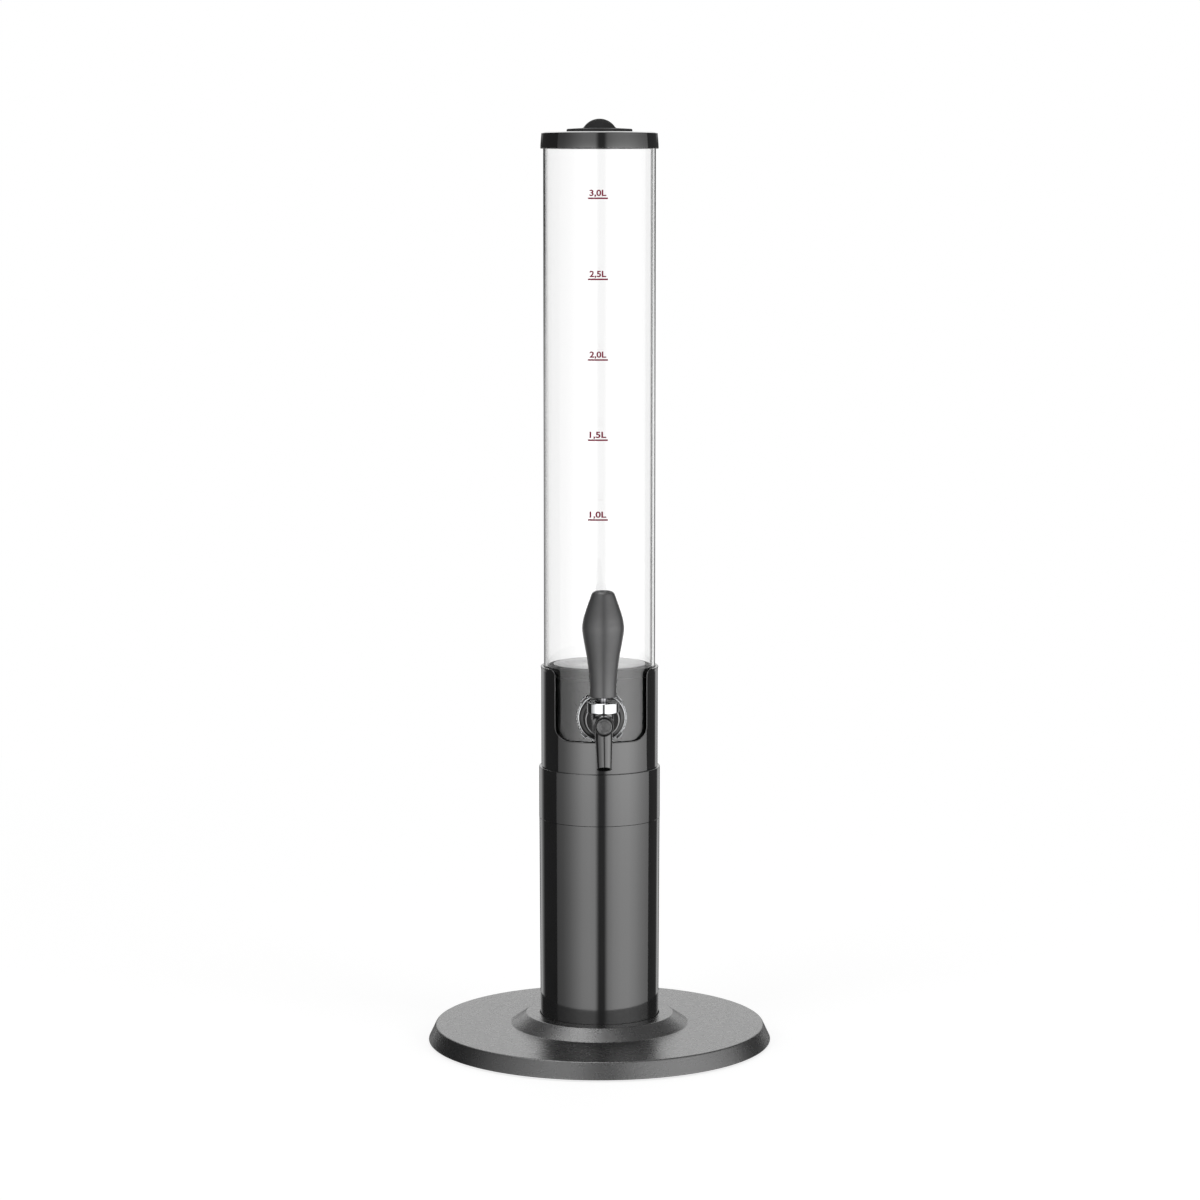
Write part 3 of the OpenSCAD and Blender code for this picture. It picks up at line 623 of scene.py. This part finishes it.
@dataclass
class TapAxis:
    """Places on the tap, as it is packed."""

    tap_z: float = 305.0
    flange_u: float = 57.0
    lever_u: float = 82.5
    front_u: float = 106.5

    @property
    def place(self) -> Matrix:
        """Local Z runs forward along the tap's axis from the tank's axis."""
        return Matrix.Translation((0, 0, self.tap_z)) @ Matrix.Rotation(math.pi / 2, 4, "X")


@dataclass
class Tank:
    """The clear tube with its litre marks."""

    tube_r: float = 50.0
    wall: float = 2.5
    low: float = 272.0
    high: float = 818.9
    edge_round: float = 0.4
    hole_r: float = 8.3
    axis: TapAxis = field(default_factory=TapAxis)
    first_mark: float = 480.9
    mark_step: float = 70.58
    mark_labels: tuple[str, ...] = ("1,0L", "1,5L", "2,0L", "2,5L", "3,0L")
    mark_turn: float = 3.8
    line_w: float = 17.6
    line_h: float = 1.35
    line_steps: int = 24
    text_w: float = 14.8
    text_h: float = 5.3
    text_rise: float = 2.2
    ink_t: float = 0.08
    ink_gap_share: float = 0.15
    bold: float = 0.026
    font_resolution: int = 6
    weld: float = 1e-5

    def build(self) -> None:
        """Builds the tube and its marks."""
        self.build_tube()
        for index, label in enumerate(self.mark_labels):
            self.build_mark(label, self.first_mark + index * self.mark_step)

    def build_tube(self) -> None:
        """The drawn tube, with polished ends and the hole for the tap's shank."""
        inner = self.tube_r - self.wall
        tube = Mesher.lathe("clear_tube", Mesher.rounded([
            (inner, self.low, self.edge_round), (self.tube_r, self.low, self.edge_round),
            (self.tube_r, self.high, self.edge_round), (inner, self.high, self.edge_round)],
            steps=3))
        drill = Mesher.lathe("drill", [
            (0, inner / 2), (self.hole_r, inner / 2),
            (self.hole_r, self.tube_r * 2), (0, self.tube_r * 2)], self.axis.place, segments=64)
        Mesher.cut(tube, drill)
        tube.visible_shadow = False
        dress(tube, ACRYLIC, Slot.CLEAR_ACRYLIC, Body.TANK, "tank_tube")

    def build_mark(self, label: str, height: float) -> None:
        """A printed litre mark: a short line with its number above.

        Args:
            label: The number.
            height: Height of the line's middle.
        """
        shape = bmesh.new()
        self.add_text(shape, label)
        low, top = -self.line_h / 2, self.line_h / 2
        section = ((low, 0), (top, 0), (top, 1), (low, 1))
        xs = spread(-self.line_w / 2, self.line_w / 2, self.line_steps)
        rings = [[shape.verts.new((x, y, outward)) for y, outward in section] for x in xs]
        Mesher.bridge(shape, rings)
        shape.faces.new(rings[0])
        shape.faces.new(rings[-1])
        for vertex in shape.verts:
            x, y, outward = vertex.co
            angle = x / self.tube_r - math.radians(self.mark_turn)
            radius = self.tube_r + self.ink_t * (self.ink_gap_share + outward)
            vertex.co = (radius * math.sin(angle), -radius * math.cos(angle), height + y)
        name = "mark_" + label.replace(",", "_").lower()
        dress(Mesher.finish_mesh(name, shape), INK, Slot.CLEAR_ACRYLIC, Body.TANK)

    def add_text(self, shape: bmesh.types.BMesh, label: str) -> None:
        """Adds flat bold figures above the line, from outward 0 to 1.

        Args:
            shape: What they join.
            label: The figures.
        """
        curve = bpy.data.curves.new("figures", "FONT")
        curve.body = label
        curve.extrude = 0.5
        curve.offset = self.bold
        curve.resolution_u = self.font_resolution
        holder = add_object("figures", curve)
        graph = bpy.context.evaluated_depsgraph_get()
        data = bpy.data.meshes.new_from_object(holder.evaluated_get(graph))
        bpy.data.objects.remove(holder)
        bpy.data.curves.remove(curve)
        xs = [vertex.co.x for vertex in data.vertices]
        digit_top = max(vertex.co.y for vertex in data.vertices)
        wide, left = max(xs) - min(xs), min(xs)
        for vertex in data.vertices:
            vertex.co.x = ((vertex.co.x - left) / wide - 0.5) * self.text_w
            vertex.co.y = vertex.co.y / digit_top * self.text_h + self.text_rise
            vertex.co.z += 0.5
        shape.from_mesh(data)
        bpy.data.meshes.remove(data)
        bmesh.ops.remove_doubles(shape, verts=shape.verts, dist=self.weld)


@dataclass
class CupPlate:
    """The loose plate on the sloping rim of the tank's cup, and the soft seal round its edge."""

    rim_r: float = 47.4
    bore_r: float = 42.2
    rim_z: float = 345.5
    slope: float = 1.7
    seal_r: float = 45.4
    seal_t: float = 1.3
    plate_r: float = 41.6
    plate_t: float = 2.0
    edge_round: float = 0.35
    hole_r: float = 11.0

    def build(self) -> None:
        """Builds the seal where the rim's slope is as wide as it, and the plate inside it."""
        share = (self.rim_r - self.seal_r) / (self.rim_r - self.bore_r)
        low = self.rim_z - self.slope * share
        seal_top, top = low + self.seal_t, low + self.plate_t
        seal = Mesher.lathe("plate_seal", Mesher.rounded([
            (self.plate_r, low, 0), (self.seal_r, low, self.edge_round),
            (self.seal_r, seal_top, self.edge_round), (self.plate_r, seal_top, 0)], steps=5))
        dress(seal, RUBBER, Slot.RUBBER, Body.TANK)
        plate = Mesher.lathe("loose_plate", Mesher.rounded([
            (self.hole_r, low, self.edge_round), (self.plate_r, low, self.edge_round),
            (self.plate_r, top, self.edge_round), (self.hole_r, top, self.edge_round)], steps=5))
        dress(plate, PLATE_BLACK, Slot.BLACK_GLOSS, Body.TANK)


@dataclass
class Holder:
    """The rolled edge of the holder's window."""

    collar_r: float = 52.5
    collar_top: float = 344.5
    window_w: float = 82.0
    window_low: float = 281.8
    low_round: float = 12.0
    flare: float = 5.0
    lip_angle: float = 2.0
    bead_r: float = 0.45
    bead_in: float = 0.2
    bead_sides: int = 12
    arc_steps: int = 12
    sill_steps: int = 16

    def arc(self, x: float, z: float, radius: float, start: float, end: float) -> Outline:
        """An arc of the flat outline, from one angle to another in degrees."""
        angles = [math.radians(turn) for turn in spread(start, end, self.arc_steps)]
        return [(x + radius * math.cos(angle), z + radius * math.sin(angle)) for angle in angles]

    def build(self) -> None:
        """Builds the bead along the window's edge."""
        half = self.window_w / 2
        lip_z = self.collar_top - self.flare
        sill_x, sill_z = half - self.low_round, self.window_low + self.low_round
        flat = self.arc(half + self.flare, lip_z, self.flare, 90 + self.lip_angle, 180)
        flat += self.arc(sill_x, sill_z, self.low_round, 0, -90)
        flat += [(x, self.window_low) for x in spread(sill_x, -sill_x, self.sill_steps)[1:-1]]
        flat += self.arc(-sill_x, sill_z, self.low_round, 270, 180)
        flat += self.arc(-half - self.flare, lip_z, self.flare, 0, 90 - self.lip_angle)
        radius = self.collar_r - self.bead_in
        path = [Vector((x, -math.sqrt(radius ** 2 - x ** 2), z)) for x, z in flat]
        bead = Mesher.sweep("window_edge", path, self.bead_r, self.bead_sides)
        dress(bead, BLACK_GLOSS, Slot.BLACK_GLOSS, Body.STAND)


@dataclass
class Tap:
    """The handle and the finer pieces round the tap's axis."""

    axis: TapAxis = field(default_factory=TapAxis)
    handle_z: float = 327.9
    handle_h: float = 93.5
    handle_r: float = 18.4
    base_round: float = 0.8
    top_round: float = 4.0
    top_share: float = 0.5
    dish_share: float = 0.36
    dish_d: float = 0.7
    insert_r: float = 5.05
    insert_len: float = 20.05
    shares: Knots = (
        (0, 0.639), (0.15, 0.65), (0.34, 0.75), (0.53, 0.922), (0.645, 1), (0.72, 0.961),
        (0.79, 0.872), (0.93, 0.628))
    shank_hole_r: float = 8.3
    ring_back: float = 51.2
    ring_front: float = 53.2
    ring_r: float = 22.4
    rim: float = 0.3
    rim_round_share: float = 0.95
    groove_r: float = 21.0
    groove_d: float = 0.7
    notch_count: int = 48
    notch_steps: int = 12
    notch_d: float = 0.7
    notch_share: float = 0.28
    tab_count: int = 4
    tab_out: float = 1.3
    tab_w: float = 7.0
    rose_r: float = 20.4
    rose_edge: float = 1.4
    rose_bevel: float = 1.5
    rose_round: float = 0.35
    recess_r: float = 12.1
    recess_d: float = 1.0
    plug_r: float = 6.8
    plug_t: float = 3.0
    plug_round: float = 0.8
    plug_rim: float = 1.3
    plug_dish: float = 0.5
    plug_dome: float = 0.3
    dome_share: float = 0.8
    nose_gap: float = 0.1
    nose_r: float = 8.7
    nose_sunk: float = 0.45
    nose_t: float = 1.0
    nose_round_share: float = 0.45
    spigot_r: float = 5.7
    spigot_len: float = 2.5
    guide_r: float = 4.0
    guide_len: float = 11.5
    rod_hole_r: float = 2.5

    def build(self) -> None:
        """Builds the tap's finer pieces."""
        self.build_handle()
        self.build_tab_ring()
        self.build_rose()
        self.build_front_plug()
        self.build_nose_ring()

    def build_handle(self) -> None:
        """The turned handle, with a shallow dish in its flat top."""
        knots = [(self.handle_r * radius, self.handle_h * height) for height, radius in self.shares]
        top, floor = self.handle_h, self.handle_h - self.dish_d
        dish = self.handle_r * self.dish_share
        dish_round = self.dish_d / 2
        path: list[Corner] = [(self.insert_r, 0, 0), (knots[0][0], 0, self.base_round)]
        path += [(x, y, 0) for x, y in Mesher.smooth_curve(knots, steps=10)]
        path += [(self.handle_r * self.top_share, top, self.top_round),
                 (dish + self.dish_d, top, dish_round), (dish - self.dish_d, floor, dish_round),
                 (0, floor, 0), (0, self.insert_len, 0), (self.insert_r, self.insert_len, 0)]
        place = Matrix.Translation((0, -self.axis.lever_u, self.handle_z))
        handle = Mesher.lathe("lever_handle", Mesher.rounded(path, steps=10), place)
        dress(handle, GREY_SATIN, Slot.GREY_SATIN, Body.LEVER, "tap_handle")

    def ring_edge(self, angle: float) -> float:
        """Radius of the tab ring's outline at an angle round the tap's axis.

        Args:
            angle: The angle in radians.

        Returns:
            The radius, larger on a tab and smaller in a notch.
        """
        pitch = FULL_TURN / self.tab_count
        offset = (angle % pitch) - pitch / 2
        tab_r = self.ring_r + self.tab_out
        if abs(tab_r * math.sin(offset)) < self.tab_w / 2:
            return tab_r / math.cos(offset)
        phase = (angle * self.notch_count / FULL_TURN + 0.5) % 1 - 0.5
        depth = max(0.0, 1 - (phase / self.notch_share) ** 2)
        return self.ring_r - self.notch_d * math.sqrt(depth)

    def build_tab_ring(self) -> None:
        """The notched chrome ring with four tabs and a fine double rim."""
        back, front, rim = self.ring_back, self.ring_front, self.rim
        rim_round = rim * self.rim_round_share
        sections = []
        for angle in turns(self.notch_count * self.notch_steps):
            edge = self.ring_edge(angle)
            crest = edge - 2 * rim
            outline = Mesher.rounded([
                (self.shank_hole_r, back, 0), (edge, back, rim / 2), (edge, front, rim_round),
                (crest, front, rim_round),
                (min(self.groove_r, crest), front - self.groove_d, 0),
                (self.groove_r - rim / 2, front, rim / 3), (self.shank_hole_r, front, 0)], steps=4)
            turned = self.axis.place @ Matrix.Rotation(angle, 4, "Z")
            sections.append([turned @ Vector((radius, 0, height)) for radius, height in outline])
        ring = Mesher.wrap("tab_ring", sections)
        dress(ring, RING_CHROME, Slot.CHROME, Body.TANK, "flange_ring")

    def build_rose(self) -> None:
        """The black flange with its bevelled edge."""
        back, front = self.ring_front, self.axis.flange_u
        floor = front - self.recess_d
        shoulder_r = self.rose_r - self.rose_bevel
        face_r = shoulder_r - self.rose_bevel * math.sqrt(2)
        rose = Mesher.lathe("tap_rose", Mesher.rounded([
            (self.shank_hole_r, back, 0), (self.rose_r, back, 0),
            (self.rose_r, back + self.rose_edge, self.rose_round),
            (shoulder_r, floor, self.rose_round), (face_r, front, self.rose_round),
            (self.recess_r, front, 0), (self.recess_r, floor, 0),
            (self.shank_hole_r, floor, 0)], steps=5), self.axis.place)
        dress(rose, ROSE_BLACK, Slot.BLACK_GLOSS, Body.TANK, "tap_flange")

    def build_front_plug(self) -> None:
        """The plug in the body's front, with a raised rim round a shallow dome, and its guide."""
        back = self.axis.front_u
        front = back + self.plug_t
        rim_in = self.plug_r - self.plug_rim
        floor, floor_r = front - self.plug_dish, rim_in - self.plug_dish
        spigot = back - self.spigot_len
        guide = spigot - self.guide_len
        plug = Mesher.lathe("front_plug", Mesher.rounded([
            (0, floor + self.plug_dome, 0),
            (floor_r / 2, floor + self.dome_share * self.plug_dome, floor_r / 2),
            (floor_r, floor, self.plug_dish / 2), (rim_in, front, self.plug_dish / 2),
            (self.plug_r, front, self.plug_round), (self.plug_r, back, 0),
            (self.spigot_r, back, 0), (self.spigot_r, spigot, 0), (self.guide_r, spigot, 0),
            (self.guide_r, guide, 0), (self.rod_hole_r, guide, 0),
            (self.rod_hole_r, spigot - self.spigot_len, 0),
            (0, spigot - self.spigot_len, 0)], steps=6), self.axis.place, segments=128)
        dress(plug, TAP_SATIN, Slot.BLACK_GLOSS, Body.TANK, "body_plug")

    def build_nose_ring(self) -> None:
        """The rounded black collar round the front plug."""
        back = self.axis.front_u - self.nose_sunk
        front = self.axis.front_u + self.nose_t
        inner = self.plug_r + self.nose_gap
        top_round = (self.nose_r - inner) * self.nose_round_share
        ring = Mesher.lathe("nose_ring", Mesher.rounded([
            (inner, back, 0), (self.nose_r, back, 0), (self.nose_r, front, top_round),
            (inner, front, top_round)], steps=8), self.axis.place, segments=128)
        dress(ring, ROSE_BLACK, Slot.BLACK_GLOSS, Body.TANK)


@dataclass
class Lid:
    """The lid's shell: a skirt that leans in, and a top that slopes a little to its edge."""

    tube_r: float = 50.0
    tube_wall: float = 2.5
    tube_top: float = 818.9
    top_t: float = 2.5
    gap: float = 0.3
    wall: float = 2.15
    skirt: float = 12.2
    foot_round: float = 0.5
    lean: float = 0.9
    lean_from: float = 1.5
    lean_power: float = 1.3
    lean_steps: int = 12
    top_round: float = 0.5
    slope_run: float = 5.0
    slope_drop: float = 1.0
    slope_round: float = 10.0
    fill_r: float = 22.0
    locate_gap: float = 0.5
    locate_wall: float = 1.5
    locate_h: float = 8.5

    def build(self) -> None:
        """Builds the shell."""
        seat, foot = self.tube_top, self.tube_top - self.skirt
        top = seat + self.top_t
        edge = top - self.slope_drop
        inner = self.tube_r + self.gap
        outer = inner + self.wall
        edge_r = outer - self.lean
        locate = self.tube_r - self.tube_wall - self.locate_gap
        locate_in, locate_low = locate - self.locate_wall, seat - self.locate_h
        low, high = foot + self.lean_from, edge - self.top_round
        path: list[Corner] = [
            (self.fill_r, seat, 0), (locate_in, seat, 0), (locate_in, locate_low, 0),
            (locate, locate_low, self.foot_round), (locate, seat, 0), (inner, seat, 0),
            (inner, foot, 0), (outer, foot, self.foot_round)]
        for share in spread(0, 1, self.lean_steps)[:-1]:
            leaned = outer - self.lean * share ** self.lean_power
            path.append((leaned, low + (high - low) * share, 0))
        path += [(edge_r, edge, self.top_round), (edge_r - self.slope_run, top, self.slope_round),
                 (self.fill_r, top, self.foot_round)]
        shell = Mesher.lathe("lid_shell", Mesher.rounded(path, steps=8))
        dress(shell, BLACK_GLOSS, Slot.BLACK_GLOSS, Body.LID, "lid_cap")


# Studio


@dataclass(frozen=True)
class Panel:
    """A tall curved soft panel, seen in gloss only.

    Azimuths are degrees from the camera's direction, positive to its right. The light at a
    point is the level at its azimuth times the share at its height.
    """

    name: str
    levels: Knots
    rise: Knots

    @staticmethod
    def between(knots: Knots, at: float) -> float:
        """The value at a place, from knots of place and value in order."""
        for (start, low), (end, high) in zip(knots, knots[1:]):
            if at <= end:
                share = (at - start) / (end - start)
                return low + (high - low) * min(max(share, 0.0), 1.0)
        return knots[-1][1]


@dataclass(frozen=True)
class Lamp:
    """A soft square lamp for plain light, not seen in gloss."""

    name: str
    azimuth: float
    height: float
    reach: float
    size: float
    power: float


@dataclass
class Studio:
    """World, soft panel, lamps, floor and camera. Lengths in metres, angles in degrees.

    Pairs that end in _up are heights of a reflection's unit direction, where a light starts
    to change and where it has changed.
    """

    turn: float = 2.2
    distance: float = 3.1735
    height: float = 0.7809
    tilt: float = 6.776
    pan: float = 0.008
    lens: float = 106.57
    sensor: float = 36.0
    aim_z: float = 0.4
    panel_radius: float = 1.7
    panel_step: float = 2.0
    panel_rows: int = 40
    panel: Panel = Panel(
        "front_panel",
        ((-89, 0.85), (-73, 1.4), (-60, 2.3), (-46, 3.7), (-32, 5.1), (-19, 5.5), (-8.5, 5.2),
         (-1.5, 0.27), (9, 0.27), (16, 4.2), (27, 5.6), (42, 6.3), (57, 6.2), (71, 5.1), (86, 3.5),
         (101, 2.2), (107.5, 1.8)),
        ((-1.4, 0.6), (-0.55, 0.64), (-0.35, 0.72), (-0.2, 0.75), (-0.1, 0.82), (0.03, 1), (0.1, 1),
         (0.5, 0.83), (0.82, 0.72), (0.95, 0.64), (1.1, 0.45), (1.4, 0.38), (2.6, 0.3)))
    lamps: tuple[Lamp, ...] = (
        Lamp("left_lamp", -40, 1.6, 2.2, 1.2, 16),
        Lamp("right_lamp", 50, 1.4, 2.2, 1.2, 14),
        Lamp("rear_lamp", 175, 1.9, 2.2, 1.2, 9),
    )
    darks: Pair = (0.03, 0.12)
    left_white: Pair = (-52.0, -28.0)
    right_white: Pair = (40.0, 30.0)
    low_gap: Pair = (17.0, 22.0)
    low_gap_share: float = 0.1
    low_up: Pair = (-0.06, -0.01)
    rear_white: Pair = (22.0, 34.0)
    rear_levels: Pair = (1.0, 1.7)
    rear_up: Pair = (0.12, 0.22)
    band_in_up: Pair = (0.03, 0.08)
    band_out_up: Pair = (0.55, 0.8)
    sky: float = 0.45
    sky_up: Pair = (0.45, 0.8)
    top_azimuth: float = -80.0
    top_lean: float = 12.0
    top_edge: Pair = (28.0, 4.0)
    top_level: float = 7.5
    ambient: float = 0.5
    floor_radius: float = 30.0
    floor_z: float = -0.0002
    floor_sides: int = 64
    floor_edges: Pair = (0.5, 1.8)
    floor_glow: Pair = (0.78, 1.0)
    floor_tone: float = 0.3

    def toward_camera(self, azimuth: float) -> Vector:
        """Level unit direction, degrees from the camera's and positive to its right."""
        angle = math.radians(self.turn - azimuth)
        return Vector((-math.sin(angle), -math.cos(angle), 0))

    def build(self) -> None:
        """Makes the whole studio."""
        bpy.context.scene.view_settings.view_transform = "Standard"
        self.build_world()
        self.build_panel()
        for lamp in self.lamps:
            self.build_lamp(lamp)
        self.build_floor()
        self.build_camera()

    def build_world(self) -> None:
        """White as a background, its own levels in gloss, and plain grey as a light."""
        world = bpy.data.worlds.new("studio_world")
        bpy.context.scene.world = world
        world.use_nodes = True
        nodes = NodeMaker(world.node_tree)
        place = nodes.add("TexCoord")
        rays = nodes.add("LightPath").outputs
        seen = nodes.math("MAXIMUM", rays["Is Camera Ray"], rays["Is Transmission Ray"])
        other = nodes.mix(rays["Is Glossy Ray"], self.ambient,
                          self.gloss_level(nodes, place.outputs["Generated"]))
        ground = nodes.add("Background")
        ground.inputs["Color"].default_value = (1, 1, 1, 1)
        nodes.link(nodes.mix(seen, other, 1.0), ground.inputs["Strength"])
        nodes.output(ground, "World")

    def gloss_level(self, nodes: NodeMaker, direction: Socket) -> Socket:
        """How bright the surroundings are in a reflection, apart from the panel.

        Args:
            nodes: The world's node maker.
            direction: The direction of the reflected ray.

        Returns:
            The level.
        """
        def along(axis: Vector) -> Socket:
            """How far the direction points along an axis."""
            node = nodes.add("VectorMath", operation="DOT_PRODUCT")
            node.inputs[1].default_value = axis
            nodes.link(direction, node.inputs[0])
            return node.outputs["Value"]

        angle = nodes.math("ARCTAN2", along(self.toward_camera(90)), along(-self.toward_camera(0)))
        up = along(Vector((0, 0, 1)))
        left = nodes.ramp(angle, radians(self.left_white), smooth=True)
        right = nodes.ramp(angle, radians(self.right_white), smooth=True)
        away = nodes.math("ABSOLUTE", angle)
        gap = nodes.ramp(away, radians(self.low_gap), (self.low_gap_share, 1))
        sides = nodes.math("MULTIPLY", nodes.math("MINIMUM", left, right), gap)
        low = nodes.math("MULTIPLY", sides, nodes.ramp(up, self.low_up, (1, 0)))
        rear = nodes.ramp(away, radians(self.rear_white), (1, 0))
        high = nodes.math("MULTIPLY", rear, nodes.ramp(up, self.rear_up, self.rear_levels))
        band = nodes.math("MULTIPLY", nodes.ramp(up, self.band_in_up),
                          nodes.ramp(up, self.band_out_up, (1, 0)))
        behind = nodes.math("MAXIMUM", low, nodes.math("MULTIPLY", high, band))
        dark = nodes.ramp(angle, radians((-90, 90)), self.darks)
        above = nodes.ramp(up, self.sky_up, (0, self.sky), smooth=True)
        lean = math.radians(self.top_lean)
        top = self.toward_camera(self.top_azimuth) * math.sin(lean)
        top.z = math.cos(lean)
        start, end = radians(self.top_edge)
        lamp = nodes.ramp(along(top), (math.cos(start), math.cos(end)), (0, self.top_level),
                          smooth=True)
        return nodes.math("MAXIMUM", nodes.math("MAXIMUM", behind, dark),
                          nodes.math("MAXIMUM", above, lamp))

    def build_panel(self) -> None:
        """Makes the panel, whose light follows its levels."""
        panel = self.panel
        shape = bmesh.new()
        level = shape.verts.layers.float.new("level")
        start, end = panel.levels[0][0], panel.levels[-1][0]
        steps = round((end - start) / self.panel_step)
        low, high = panel.rise[0][0], panel.rise[-1][0]
        rows = spread(low, high, self.panel_rows)
        brightest = max(value for _, value in panel.levels)
        columns = []
        for azimuth in spread(start, end, steps):
            out = self.toward_camera(azimuth) * self.panel_radius
            column = [shape.verts.new((out.x, out.y, z)) for z in rows]
            share = panel.between(panel.levels, azimuth) / brightest
            for vertex, z in zip(column, rows):
                vertex[level] = share * panel.between(panel.rise, z)
            columns.append(column)
        for first, second in zip(columns, columns[1:]):
            for row in range(self.panel_rows):
                shape.faces.new((first[row], second[row], second[row + 1], first[row + 1]))
        made = add_mesh(panel.name, shape)
        light, nodes = NodeMaker.material(panel.name + "_light")
        share = nodes.add("Attribute", attribute_name="level").outputs["Fac"]
        glow = nodes.add("Emission")
        nodes.link(nodes.math("MULTIPLY", share, brightest), glow.inputs["Strength"])
        nodes.output(glow)
        made.data.materials.append(light)
        made.visible_camera = False
        made.visible_diffuse = False
        made.visible_transmission = False
        made.visible_shadow = False

    def build_lamp(self, lamp: Lamp) -> None:
        """Makes a soft lamp that points at the object."""
        data = bpy.data.lights.new(lamp.name, "AREA")
        data.shape = "SQUARE"
        data.size = lamp.size
        data.energy = lamp.power
        made = add_object(lamp.name, data)
        made.location = self.toward_camera(lamp.azimuth) * lamp.reach
        made.location.z = lamp.height
        toward = Vector((0, 0, self.aim_z)) - made.location
        made.rotation_euler = toward.to_track_quat("-Z", "Y").to_euler()
        made.visible_camera = False
        made.visible_glossy = False
        made.visible_transmission = False

    def build_floor(self) -> None:
        """A pale floor that runs on into the background and keeps a faint shadow."""
        shape = bmesh.new()
        bmesh.ops.create_circle(shape, cap_ends=True, radius=self.floor_radius,
                                segments=self.floor_sides)
        floor = add_mesh("floor", shape)
        floor.location.z = self.floor_z
        made, nodes = NodeMaker.material("pale_floor")
        place = nodes.add("TexCoord")
        length = nodes.add("VectorMath", operation="LENGTH")
        nodes.link(place.outputs["Object"], length.inputs[0])
        far = length.outputs["Value"]
        tone = nodes.add("BsdfDiffuse")
        shade = nodes.ramp(far, self.floor_edges, (self.floor_tone, 0), smooth=True)
        nodes.link(shade, tone.inputs["Color"])
        glow = nodes.add("Emission")
        nodes.link(nodes.ramp(far, self.floor_edges, self.floor_glow, smooth=True),
                   glow.inputs["Strength"])
        both = nodes.add("AddShader")
        nodes.link(tone.outputs[0], both.inputs[0])
        nodes.link(glow.outputs[0], both.inputs[1])
        nodes.output(both)
        floor.data.materials.append(made)
        floor.visible_glossy = False
        floor.visible_diffuse = False

    def build_camera(self) -> None:
        """The photograph's camera, fitted to the base, the column and the tube."""
        data = bpy.data.cameras.new("camera")
        data.lens = self.lens
        data.sensor_width = self.sensor
        camera = add_object("camera", data)
        camera.location = self.toward_camera(0) * self.distance
        camera.location.z = self.height
        camera.rotation_euler = (math.radians(90 - self.tilt), 0,
                                 math.radians(-self.turn - self.pan))
        bpy.context.scene.camera = camera


# Dressing


@dataclass
class Dresser:
    """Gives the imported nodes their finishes."""

    nodes: dict[str, bpy.types.Object]
    finishes: dict[str, Finish] = field(default_factory=lambda: {
        "base_shell": BLACK_ABS, "ballast_ring": STEEL, "bottom_cover": BLACK_ABS,
        "cover_screws": STEEL, "rubber_feet": RUBBER, "column": BLACK_GLOSS, "column_screws": STEEL,
        "tank_holder": BLACK_GLOSS, "holder_screws": STEEL, "seat_ring": RUBBER,
        "tank_tube": ACRYLIC, "tank_cup": CUP_BLACK, "cup_seals": RUBBER, "saddle_gasket": RUBBER,
        "flange_ring": RING_CHROME, "tap_flange": ROSE_BLACK, "tap_shank": CHROME,
        "shank_gasket": RUBBER, "shank_nut": CHROME, "tap_body": TAP_BLACK, "body_plug": PLUG_BLACK,
        "bonnet": CHROME, "ball_seat": WHITE_SEAL, "friction_washer": WHITE_SEAL,
        "lever_stem": DARK_STEEL, "tap_handle": GREY_SATIN, "handle_insert": BRASS,
        "valve_shaft": WHITE_SEAL, "valve_washer": RUBBER, "valve_screw": STEEL,
        "lid_cap": BLACK_GLOSS, "lid_plug": PLUG_BLACK, "plug_seal": RUBBER,
    })

    def build(self) -> None:
        """Puts each node's finish on it."""
        for name, finish in self.finishes.items():
            materials = self.nodes[name].data.materials
            materials.clear()
            materials.append(finish.material())
            LOG.info("%s: %s", name, finish.name)


def main() -> None:
    """Builds the scene in order."""
    logging.basicConfig(level=logging.INFO, format="%(name)s: %(message)s")
    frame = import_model()
    Dresser(frame["nodes"]).build()
    Tank().build()
    CupPlate().build()
    Holder().build()
    Tap().build()
    Lid().build()
    Studio().build()


if __name__ == "__main__":
    main()
